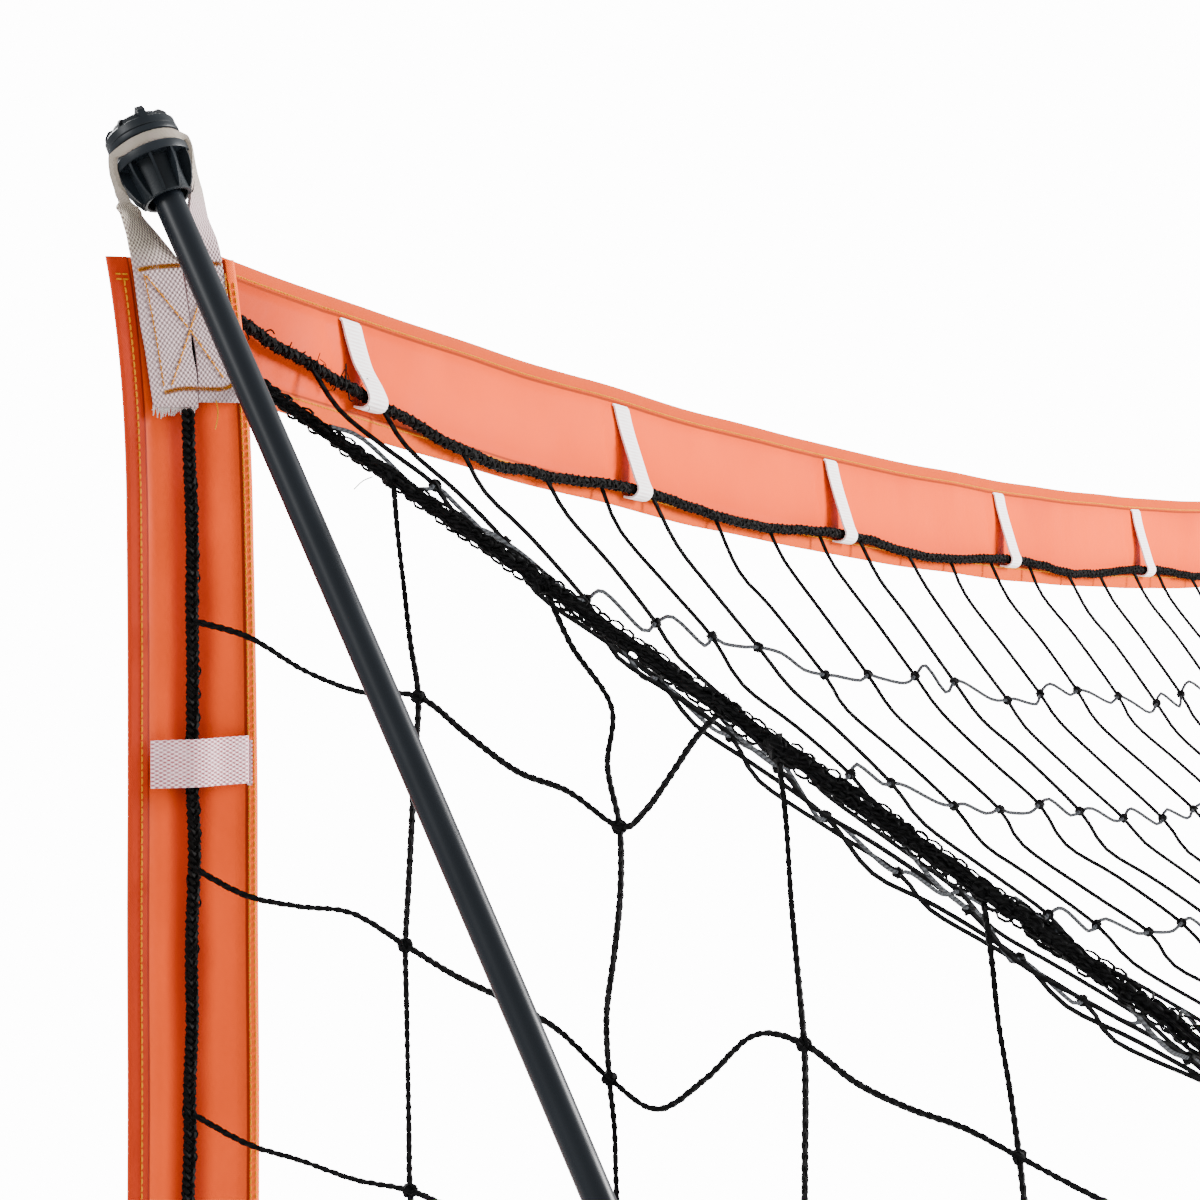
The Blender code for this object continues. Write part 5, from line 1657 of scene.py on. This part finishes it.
@dataclass
class PostBand:
    """One upright band."""

    finishes: Finishes
    side: Side
    first_hem: float = 0.011
    last_hem: float = 0.006

    def surface(self, z: float, w: float, n: float = 0.0) -> Vector:
        """A point w across the band from its outer edge, with the panel's soft creases."""
        share = w / PLAN.band_width
        belly = math.sin(math.pi * clamped(share))
        out = (uneven(0.0014, z * 9.0, share * 1.7, 2.0) + uneven(0.0010, z * 34.0, share * 2.6, 8.0)) * belly
        out -= 0.0022 * belly * belly
        wave = uneven(0.0011, z * 7.0, 4.0)
        flare = 0.0018 * math.exp((z - PLAN.post_top) / 0.04) * max(0.0, 1.0 - 2.0 * share)
        rise = clamped((z - 1.56) / 0.17)
        low, high = -0.0338 - 0.0012 * rise, 0.0338 - 0.0020 * rise
        return PLAN.post_point(self.side.value, low + (high - low) * share + wave - flare, out + n, z)

    def build(self) -> None:
        """Make the band, its stitching and its belt loops."""
        low, high = PLAN.post_foot_z, PLAN.post_top
        shape = band_cloth(self.surface, evenly(low, high, 260), 0.0, (self.first_hem, self.last_hem))
        label = self.side.label
        band = shape.piece("post_band_fabric_" + label, self.finishes.post, Slot.BAND, ["post_band_" + label])
        threads = self.stitches()
        loops = self.loops()

    def stitches(self) -> bpy.types.Object:
        """The thread along both hems, on both faces, with a second row on the inner hem."""
        face = PLAN.post_face(self.side.value, 0.0, 1.0)
        inner_hem = PLAN.band_width - self.last_hem + 0.0010
        rows = (self.first_hem - 0.0040, inner_hem, PLAN.band_width - 0.0022)
        places = evenly(PLAN.post_foot_z + 0.004, PLAN.post_top - 0.0095, 170)
        shape = sew_rows(self.surface, places, rows, face)
        for drop in (0.0085, 0.0110):
            line = [self.surface(PLAN.post_top - drop, w, HEM_HALF) for w in evenly(0.0030, 0.0110, 12)]
            Stitching().run(shape, line, face)
        return shape.piece("post_stitching_" + self.side.label, self.finishes.thread, Slot.BAND)

    def loops(self) -> bpy.types.Object:
        """The belt loops that hold the rope."""
        shape = Shape()
        for k in range(5):
            z = PLAN.post_top - PLAN.post_loop_first - k * PLAN.loop_spacing * 0.95
            outline = [(-0.0228, 0.0018), (-0.0218, 0.0026), (-0.0150, 0.0052), (-0.0070, 0.0094)]
            outline += [(-0.0048, 0.0103), (-0.0012, 0.0104), (0.004, 0.0094), (0.013, 0.0064)]
            outline += [(0.0262, 0.0040), (0.0276, 0.0030)]
            self.weave(shape, outline, z + 0.0006, 0.0233)
            self.weave(shape, [(0.0284, 0.0012), (0.0290, 0.0026), (0.0300, 0.0030)], z - 0.0012, 0.0222)
        return shape.piece("post_belt_loops_" + self.side.label, self.finishes.post_loop, Slot.WEBBING)

    def weave(self, shape: Shape, outline: Outline, z: float, width: float) -> None:
        """A piece of webbing across the band, through points of place across and place out."""
        s = self.side.value

        def station(point: Vector, run: Vector) -> Station:
            """A station across the band, tilted a little."""
            tilt = UP * 0.0008 * (point.x / 0.03)
            face = PLAN.post_face(s, -run.y, run.x, z)
            return PLAN.post_point(s, point.x, point.y, z) + tilt, UP, face, width

        shape.strap(outline, 0.0014, station, 0.0012, 8)


# Corners


def tip_matrix(side: float, mouth: Vector, axis: Vector) -> Matrix:
    """The frame of a tip fitting, with Z up along its pole."""
    way = PLAN.axis(side, axis)
    return Matrix.Translation(PLAN.world(side, mouth)) @ way.to_track_quat("Z", "Y").to_matrix().to_4x4()


@dataclass
class TipFitting:
    """The moulded end that a pole plugs into."""

    finishes: Finishes
    side: Side
    where: str
    mouth: Vector
    axis: Vector
    facing: Vector
    fins: int = 10
    ribs: int = 8
    sleeve: float = 0.0124
    bore: float = 0.0103
    collar: float = COLLAR_RADIUS
    neck: float = NECK_RADIUS
    cap: float = 0.0183

    def build(self) -> None:
        """Make the collar with its fins, and the ribbed cap."""
        matrix = tip_matrix(self.side.value, self.mouth, self.axis)
        label = self.where + "_" + self.side.label
        shape = Shape()
        profile = [(self.bore, 0.0006), (self.bore + 0.0004, 0.0), (self.sleeve - 0.0005, 0.0)]
        profile += [(self.sleeve, 0.0006), (self.sleeve + 0.0006, 0.0120), (self.sleeve + 0.0014, 0.0192)]
        profile += [(self.collar - 0.0014, 0.0196), (self.collar - 0.0002, 0.0192), (self.collar, 0.0198)]
        profile += [(self.collar, 0.0233), (self.collar - 0.0006, 0.0240), (self.collar - 0.0024, 0.0242)]
        profile += [(self.neck + 0.0006, 0.0242), (self.neck, 0.0248), (self.neck, 0.0299)]
        profile += [(0.0060, 0.0299), (0.0060, 0.0216), (self.bore, 0.0214)]
        shape.turned(profile, matrix, 56)
        local = matrix.to_3x3().transposed() @ PLAN.axis(self.side.value, self.facing)
        lug_angle = math.atan2(local.y, local.x)
        for k in range(self.fins):
            angle = lug_angle - math.radians(15.0) * self.side.value + TURN * k / self.fins
            outline = [(self.sleeve - 0.0008, 0.0004), (self.sleeve + 0.0008, 0.0006), (0.0156, 0.0048)]
            outline += [(0.0176, 0.0105), (0.0184, 0.0150), (0.0184, 0.0197), (self.sleeve - 0.0008, 0.0197)]
            self.fin(shape, matrix, angle, outline, 0.0013)
        self.mould(shape, "collar", label)
        self.build_cap(matrix, label, lug_angle)

    def fin(self, shape: Shape, matrix: Matrix, angle: float, outline: Outline, thickness: float) -> None:
        """A flat fin through the fitting's axis, as points of radius and height."""
        turned = matrix @ Matrix.Rotation(angle, 4, "Z")
        points = [turned @ Vector((r, 0.0, h)) for r, h in outline]
        shape.plate(points, turned.to_3x3() @ Vector((0.0, thickness, 0.0)))

    def mould(self, shape: Shape, kind: str, label: str) -> None:
        """Make one of the fitting's two pieces."""
        name = "tip_%s_moulding_%s" % (kind, label)
        shape.piece(name, self.finishes.plastic, Slot.PLASTIC, ["tip_%s_%s" % (kind, label)], 30.0)

    def build_cap(self, matrix: Matrix, label: str, lug_angle: float) -> None:
        """The cap over the groove: a rim, a band, a recessed shoulder with ribs, and one taller lug."""
        low = 0.0303
        shape = Shape()
        profile = [(0.0, low - 0.0004), (self.cap - 0.0012, low), (self.cap - 0.0002, low + 0.0004)]
        profile += [(self.cap, low + 0.0010), (self.cap - 0.0001, low + 0.0030)]
        profile += [(self.cap - 0.0008, low + 0.0034)]
        profile += [(self.cap - 0.0003, low + 0.0040), (self.cap - 0.0004, low + 0.0076)]
        profile += [(self.cap - 0.0012, low + 0.0084), (self.cap - 0.0034, low + 0.0082)]
        profile += [(self.cap - 0.0040, low + 0.0104), (self.cap - 0.0058, low + 0.0126)]
        profile += [(0.0060, low + 0.0134), (0.0, low + 0.0136)]
        shape.turned(profile, matrix, 56)
        for k in range(self.ribs):
            tall = 0.0 if k else 0.0024
            outline = [(0.0100, low + 0.0118), (0.0176, low + 0.0078), (0.0174, low + 0.0094 + tall)]
            outline += [(0.0163, low + 0.0108 + tall), (0.0148, low + 0.0124 + tall), (0.0100, low + 0.0134)]
            self.fin(shape, matrix, lug_angle + TURN * k / self.ribs, outline, 0.0013 + tall)
        self.mould(shape, "cap", label)


@dataclass
class CornerWebbing:
    """The webbing that hangs on a tip's neck."""

    finishes: Finishes
    side: Side
    where: str
    neck: Vector
    axis: Vector
    across: Vector
    out: Vector
    patch: Callable[[float], list[Station]]
    thickness: float = 0.0022
    crown_thickness: float = 0.0032
    wraps: tuple[float, float] = (0.0, 0.0)

    def stations(self) -> list[Station]:
        """Stations from one sewn end, over the neck and down to the other end, as x, v, z."""
        e = (self.across - self.axis * self.across.dot(self.axis)).normalized()
        g = (self.out - self.axis * self.out.dot(self.axis) - e * self.out.dot(e)).normalized()
        radius = NECK_RADIUS + 0.0004 + self.crown_thickness / 2.0
        crown: list[Station] = []
        first, last = (math.radians(66.0 - wrap * 0.75) for wrap in self.wraps)
        for k in range(7):
            angle = (first + last) * k / 6.0 - first
            away = e * math.sin(angle) + g * math.cos(angle)
            crown.append((self.neck + away * radius, self.axis, away, 0.0058))
        beside = COLLAR_RADIUS + 0.0002 + self.thickness / 2.0
        legs = {}
        for sign, wrap in zip((-1.0, 1.0), self.wraps):
            turn = math.radians(wrap)
            away = e * (sign * math.cos(turn)) + g * math.sin(turn)
            way = e * (sign * math.sin(turn)) - g * math.cos(turn)
            below = self.neck - (self.axis * 0.0064 if wrap else UP * 0.0072)
            legs[sign] = [
                (self.neck + away * (beside - 0.0006), (self.axis + way).normalized(), away, 0.0050),
                (below + away * (beside - 0.0008), way, away, 0.0050),
            ]
            if not wrap:
                legs[sign].append((self.neck - UP * 0.0150 + away * (beside - 0.0034), way, away, 0.0048))
            legs[sign] += self.patch(sign)
        return list(reversed(legs[-1.0])) + crown + legs[1.0]

    def rounded(self, stations: Sequence[Station], steps: int = 5) -> list[Station]:
        """More stations between the given ones, on rounded lines."""
        middles = self.between([s[0] for s in stations], steps)
        ways = self.between([s[1].normalized() for s in stations], steps)
        faces = self.between([s[2].normalized() for s in stations], steps)
        widths = self.between([Vector((s[3], 0.0, 0.0)) for s in stations], steps)
        return [(m, w, f, max(width.x, 0.004)) for m, w, f, width in zip(middles, ways, faces, widths)]

    def between(self, points: Sequence[Vector], steps: int) -> list[Vector]:
        """The same number of points between each pair, on a rounded line."""
        line = []
        for k in range(len(points) - 1):
            before = points[max(k - 1, 0)]
            after = points[min(k + 2, len(points) - 1)]
            first, last = points[k], points[k + 1]
            for j in range(steps):
                t = j / steps
                a = first + (last - before) * (t / 6.0) * (1.0 - t)
                b = last - (after - first) * ((1.0 - t) / 6.0) * t
                line.append(a.lerp(b, t * t * (3.0 - 2.0 * t)))
        return line + [points[-1]]

    def build(self) -> bpy.types.Object:
        """Make the webbing."""
        s = self.side.value
        made: list[Station] = []
        deep = []
        for middle, way, face, width in self.rounded(self.stations()):
            made.append((PLAN.world(s, middle), PLAN.axis(s, way), PLAN.axis(s, face), width))
            bunched = clamped((0.0150 - width) / 0.0090)
            deep.append(self.thickness + (self.crown_thickness - self.thickness) * bunched)
        shape = Shape()
        shape.strip(made, deep, 8, 0.3)
        label = self.where + "_" + self.side.label
        name, replaced = "corner_webbing_weave_" + label, ["corner_webbing_" + label]
        return shape.piece(name, self.finishes.corner, Slot.WEBBING, replaced)


def front_webbing(finishes: Finishes, side: Side) -> CornerWebbing:
    """The loop on the front tip, sewn on the band's corner."""
    axis = PLAN.towards_tip(PLAN.pole_lean)
    neck = Vector(PLAN.tip_mouth) + axis * NECK_MIDDLE
    turn = PLAN.turn_at(PLAN.post_top - 0.033)
    across = Vector((-math.cos(turn), math.sin(turn), 0.0))
    out = Vector((math.sin(turn), math.cos(turn), 0.0))
    flat = SEWN_LEVEL + 0.0011
    top = PLAN.post_top

    def on_band(w: float, n: float, z: float) -> Vector:
        """x, v, z of a place on the band."""
        x, v = PLAN.post_middle(min(z, top))
        return Vector((x, v, z)) + across * w + out * n

    def turned_by(share: float, sign: float) -> tuple[Vector, Vector]:
        """Width and face directions between lying along the fitting's side and lying on the band."""
        angle = math.radians(90.0 * share)
        way = (across * math.cos(angle) - out * math.sin(angle)) * sign
        return way, across * math.sin(angle) + out * math.cos(angle)

    def patch(sign: float) -> list[Station]:
        """The sewn end of one leg. The two ends nearly meet, and gape a little above the lower sewing."""
        left = sign < 0.0
        drops = (0.0035, 0.0330, 0.0445, 0.0560, 0.0725 if left else 0.0700)
        if left:
            slit = (0.0010, 0.0022, 0.0016, 0.0030, 0.0028)
            outer = (-0.0246, -0.0242, -0.0230, -0.0222, -0.0208)
            above = [(on_band(-0.0278, 0.0030, top + 0.0258), *turned_by(-0.05, sign), 0.0064)]
        else:
            slit = (0.0026, 0.0026, 0.0038, 0.0040, 0.0032)
            outer = (0.0235, 0.0255, 0.0272, 0.0274, 0.0276)
            above = [(on_band(0.0104, 0.0020, top + 0.0345), *turned_by(0.50, sign), 0.0160)]
        above += [
            (on_band(-0.0241 if left else 0.0116, 0.0015, top + 0.0205), *turned_by(0.44, sign), 0.0230),
            (on_band(-0.0180 if left else 0.0125, 0.0027, top + 0.0101), *turned_by(0.27, sign), 0.0240),
        ]
        ends = []
        for inner, edge, drop in zip(slit, outer, drops):
            middle = on_band((inner + edge) / 2.0, flat, top - drop)
            ends.append((middle, across * sign, out, abs(inner - edge)))
        return above + ends

    return CornerWebbing(finishes, side, "front", neck, axis, across, out, patch, wraps=(0.0, 30.0))


def rear_webbing(finishes: Finishes, side: Side) -> CornerWebbing:
    """The loop on the rear tip, sewn to the net's rear corner."""
    neck = REAR_MOUTH + REAR_AXIS * NECK_MIDDLE
    across = -SIDE_WAY
    out = -SIDE_OUT
    face = REAR_CORNER - out * (PLAN.seam_radius + 0.0030)

    def patch(sign: float) -> list[Station]:
        """The sewn end of one leg."""
        low = face + across * sign * (0.0245 / 2.0 + 0.0004)
        half_turn = (across * sign - out).normalized()
        half_face = (across * sign + out).normalized()
        turning = REAR_MOUTH + out * 0.0060 + across * sign * 0.0185
        return [
            (turning - UP * 0.0060, half_turn, half_face, 0.0200),
            (low + UP * 0.010, across * sign, out, 0.0245),
            (low - UP * 0.040, across * sign, out, 0.0245),
        ]

    return CornerWebbing(finishes, side, "rear", neck, REAR_AXIS, across, out, patch)


@dataclass
class PatchThreads:
    """The gold sewing on the front corner's webbing."""

    finishes: Finishes
    side: Side
    level: float = SEWN_LEVEL + 0.0022

    def at(self, w: float, drop: float, out: float = 0.0) -> Vector:
        """World point on the patch, at w across the band and drop below its top."""
        return PLAN.post_point(self.side.value, w, self.level + out, PLAN.post_top - drop)

    def build(self) -> None:
        """Make the frame, the cross and the two bars of tight zigzag."""
        thin = Stitching(0.0030, 0.0007, 0.00040)
        shape = Shape()
        face = PLAN.post_face(self.side.value, 0.0, 1.0, PLAN.post_top - 0.03)
        runs = [
            ((-0.0199, 0.0085), (-0.0151, 0.0648)), ((0.0240, 0.0070), (0.0215, 0.0615)),
            ((-0.0189, 0.0092), (0.0013, 0.0349)), ((0.0013, 0.0349), (0.0187, 0.0604)),
            ((0.0150, 0.0070), (0.0013, 0.0349)), ((0.0013, 0.0349), (-0.0124, 0.0647)),
        ]
        for first, last in runs:
            line = [self.at(*(a + (b - a) * k / 20.0 for a, b in zip(first, last))) for k in range(21)]
            thin.run(shape, line, face)
        self.bar(shape, [(-0.0228, 0.0066), (-0.0110, 0.0045), (0.0225, 0.0020)])
        self.bar(shape, [(-0.0150, 0.0655), (-0.0036, 0.0634), (0.0151, 0.0634), (0.0222, 0.0613)])
        hanging = [self.at(0.0120, 0.0690, 0.0006), self.at(0.0126, 0.0740, 0.0008)]
        hanging += [self.at(0.0120, 0.0790, 0.0006), self.at(0.0108, 0.0830, 0.0005)]
        shape.tube(smooth_line(hanging, 0.001), 0.00038)
        shape.piece("patch_sewing_" + self.side.label, self.finishes.thread, Slot.WEBBING)
        self.fray()

    def fray(self) -> None:
        """Loose yarn ends along the cut edge of the left leg."""
        rng = random.Random(21)
        shape = Shape()
        for k in range(90):
            w = -0.0212 + 0.0236 * k / 89.0
            drop = 0.0718 + rng.uniform(-0.0006, 0.0006)
            length = rng.uniform(0.001, 0.0055) * (1.3 - 0.8 * k / 89.0)
            swing = rng.uniform(-0.0022, 0.0010)
            line = [self.at(w, drop, -0.0008), self.at(w + swing * 0.4, drop + length * 0.6, -0.0006)]
            line.append(self.at(w + swing, drop + length, -0.0010))
            shape.tube(smooth_line(line, 0.001), 0.00028)
        shape.piece("patch_fray_" + self.side.label, self.finishes.pale_thread, Slot.WEBBING)

    def bar(self, shape: Shape, corners: Outline) -> None:
        """A bar of tight zigzag sewing along a line."""
        middle = smooth_line([Vector((w, drop, 0.0)) for w, drop in corners], 0.00042)
        swings = (-0.00095, 0.00095)
        line = [self.at(point.x, point.y + swings[k % 2], 0.0003) for k, point in enumerate(middle)]
        shape.tube(line, 0.00036)


@dataclass
class Poles:
    """The bowed front pole and the rear pole of one side."""

    finishes: Finishes
    side: Side

    def build(self) -> None:
        """Make both poles."""
        s, label = self.side.value, self.side.label
        points = [PLAN.world(s, p) for p in BOW_PATH]
        top = points[0] + PLAN.axis(s, PLAN.towards_tip(PLAN.pole_lean)) * PLUG_DEPTH
        middle = len(points) // 2
        gap = direction_at(points, middle) * 0.0004
        line = smooth_line(points, 0.02)
        half = min(range(len(line)), key=lambda k: (line[k] - points[middle]).length)
        foot, mouth = PLAN.world(s, REAR_FOOT), PLAN.world(s, REAR_MOUTH)
        plug = PLAN.axis(s, REAR_AXIS) * PLUG_DEPTH
        for name, node, path in (
            ("upper", "front_pole_upper_", [top] + line[:half] + [line[half] - gap]),
            ("lower", "front_pole_lower_", [line[half] + gap] + line[half + 1:]),
            ("rear", "rear_pole_", [foot, foot.lerp(mouth, 0.5), mouth + plug]),
        ):
            shape = Shape()
            shape.tube(path, PLAN.pole_radius + 0.0004, 32)
            shape.piece("pole_rod_%s_%s" % (name, label), self.finishes.pole, Slot.POLE, [node + label])


@dataclass
class GroundFrame:
    """The tube frame on the ground and what is tied to it."""

    finishes: Finishes

    def build(self) -> None:
        """Dress the solids that stay, and replace the soft ones."""
        steel = self.finishes.steel
        dressed = {Slot.STEEL: steel, Slot.PLASTIC: self.finishes.block, Slot.BRIGHT: self.finishes.bright}
        slots = {entry["node"]: entry["material_slot"] for entry in frame["record"]["subparts"]}
        for node, solid in frame["nodes"].items():
            for slot, finish in dressed.items():
                if slots[node] == slot.value and not solid.hide_render:
                    solid.data.materials.clear()
                    solid.data.materials.append(steel if "ferrule" in node else finish)
        for side in Side:
            self.foot_webbing(side)
        for number in (1, 2, 3):
            self.tie(number)

    def foot_webbing(self, side: Side) -> None:
        """The webbing ring between an upright band and its staple."""
        s, label = side.value, side.label
        top = PLAN.post_foot_z - 0.0003
        low = PLAN.foot_height + PLAN.staple_rise - 0.0035 - 0.0011
        wide = 0.0046
        half = [(wide * 0.5, top - 0.003), (wide * 0.7, top - 0.012), (wide, low + 0.014)]
        half += [(wide, low + 0.004), (wide * 0.6, low - 0.0004)]
        outline = [(0.0, top - 0.001), *half, (0.0, low - 0.001)]
        outline += [(-n, z) for n, z in reversed(half)] + outline[:1]
        along = PLAN.post_face(s, 1.0, 0.0)

        def station(point: Vector, run: Vector) -> Station:
            """A station at a place out of the band and a height."""
            face = PLAN.post_face(s, 0.0, run.y) - UP * run.x
            return PLAN.post_point(s, 0.0, point.x, point.y), along, -face, 0.040

        shape = Shape()
        shape.strap(outline, 0.003, station, 0.0014, 6, 0.1)
        name, replaced = "foot_webbing_weave_" + label, ["foot_webbing_" + label]
        shape.piece(name, self.finishes.corner, Slot.WEBBING, replaced)

    def tie(self, number: int) -> None:
        """One strap round the rear bar and the bottom rope."""
        node = "tie_strap_%d" % number
        low, high = (Vector(corner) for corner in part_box(node))
        x = (low.x + high.x) / 2.0
        bar = Vector((0.0, PLAN.bar_z, 0.0))
        rope = Vector((-PLAN.net_inset, BOTTOM_ROPE_Z, 0.0))
        bar_out, rope_out = 0.0152, 0.0048
        reach = rope - bar
        base = math.atan2(reach.y, reach.x)
        spread = math.acos((bar_out - rope_out) / reach.length)
        stations: list[Station] = []
        for centre, radius, first, last in (
            (bar, bar_out, base + spread - TURN, base - spread),
            (rope, rope_out, base - spread, base + spread),
        ):
            for angle in evenly(first, last, 15):
                away = Vector((math.cos(angle), math.sin(angle), 0.0))
                point = centre + away * radius
                place = Vector((x, PLAN.mouth_y + PLAN.depth + point.x, point.y))
                stations.append((place, Vector((1.0, 0.0, 0.0)), Vector((0.0, away.x, away.y)), 0.025))
        stations.append(stations[0])
        shape = Shape()
        shape.strip(stations, 0.0010, 6, 0.1)
        shape.piece(node + "_weave", self.finishes.corner, Slot.WEBBING, [node])


# Studio


@dataclass
class Studio:
    """The floor, the lights and the camera."""

    focal: float = 4400.0 / 1200.0 * 36.0
    surround_light: float = 0.9
    surround_seen: float = 14.0

    def build(self) -> None:
        """Set up the whole studio."""
        self.camera()
        self.floor()
        self.lights()

    def camera(self) -> None:
        """The camera, behind and outside the right side of the goal, near its top corner."""
        data = bpy.data.cameras.new("camera")
        data.lens = self.focal
        data.sensor_width = 36.0
        data.clip_end = 100.0
        made = bpy.data.objects.new("camera", data)
        forward = Vector((-0.9175184, -0.39704567, -0.02268733))
        right = Vector((-0.39714789, 0.91775463, 0.0))
        up = right.cross(forward)
        turn = Matrix((right, up, -forward)).transposed().to_4x4()
        made.matrix_world = Matrix.Translation(PLAN.place(1.0, 3.71528, 1.03465, 1.70650)) @ turn
        bpy.context.collection.objects.link(made)
        bpy.context.scene.camera = made

    def floor(self) -> None:
        """A plain pale floor in a pale surround, whose own light on the goal is weaker than it looks."""
        place = (0.0, 0.0, -0.001)
        bpy.ops.mesh.primitive_circle_add(vertices=96, radius=6.0, fill_type="NGON", location=place)
        floor = bpy.context.object
        floor.name = "studio_floor"
        g = Graph("studio_floor")
        g.shade(base_color=(0.88, 0.88, 0.87, 1.0), roughness=0.9)
        floor.data.materials.append(g.material)
        world = bpy.data.worlds.new("studio")
        world.use_nodes = True
        tree = world.node_tree
        seen = tree.nodes.new("ShaderNodeLightPath").outputs["Is Camera Ray"]
        strength = tree.nodes.new("ShaderNodeMapRange")
        tree.links.new(seen, strength.inputs["Value"])
        strength.inputs["To Min"].default_value = self.surround_light
        strength.inputs["To Max"].default_value = self.surround_seen
        background = tree.nodes["Background"]
        background.inputs[0].default_value = (1.0, 1.0, 1.0, 1.0)
        tree.links.new(strength.outputs["Result"], background.inputs[1])
        bpy.context.scene.world = world

    def lights(self) -> None:
        """Soft lights: a strong one from behind the net, and weaker ones from the corner's other sides."""
        for name, place, aim, size, power in (
            ("rear", (-1.5, 3.6, 3.1), (1.6, -0.5, 1.5), 2.2, 1100.0),
            ("corner", (4.6, -2.6, 3.6), (1.8, -0.5, 1.6), 1.4, 180.0),
            ("front", (-1.8, -4.2, 3.2), (0.0, -0.5, 1.0), 2.4, 420.0),
        ):
            data = bpy.data.lights.new(name, "AREA")
            data.shape = "SQUARE"
            data.size = size
            data.energy = power
            made = bpy.data.objects.new(name, data)
            way = Vector(aim) - Vector(place)
            made.location = place
            made.rotation_euler = way.to_track_quat("-Z", "Y").to_euler()
            bpy.context.collection.objects.link(made)


def main() -> None:
    """Build every part of the scene in order."""
    logging.basicConfig(level=logging.INFO, format="%(message)s")
    Studio().build()
    finishes = Finishes()
    CrossbarBand(finishes).build()
    EdgeRopes(finishes).build()
    RoofAndBack(finishes).build()
    tip_mouth, tip_axis = Vector(PLAN.tip_mouth), PLAN.towards_tip(PLAN.pole_lean)
    for side in Side:
        PostBand(finishes, side).build()
        SideNet(finishes, side).build()
        SeamBundle(finishes, side).build()
        Poles(finishes, side).build()
        TipFitting(finishes, side, "front", tip_mouth, tip_axis, Vector((0.705, 0.536, 0.374))).build()
        TipFitting(finishes, side, "rear", REAR_MOUTH, REAR_AXIS, Vector((0.6, -0.8, 0.0))).build()
        front_webbing(finishes, side).build()
        rear_webbing(finishes, side).build()
        PatchThreads(finishes, side).build()
    GroundFrame(finishes).build()


if __name__ == "__main__":
    main()
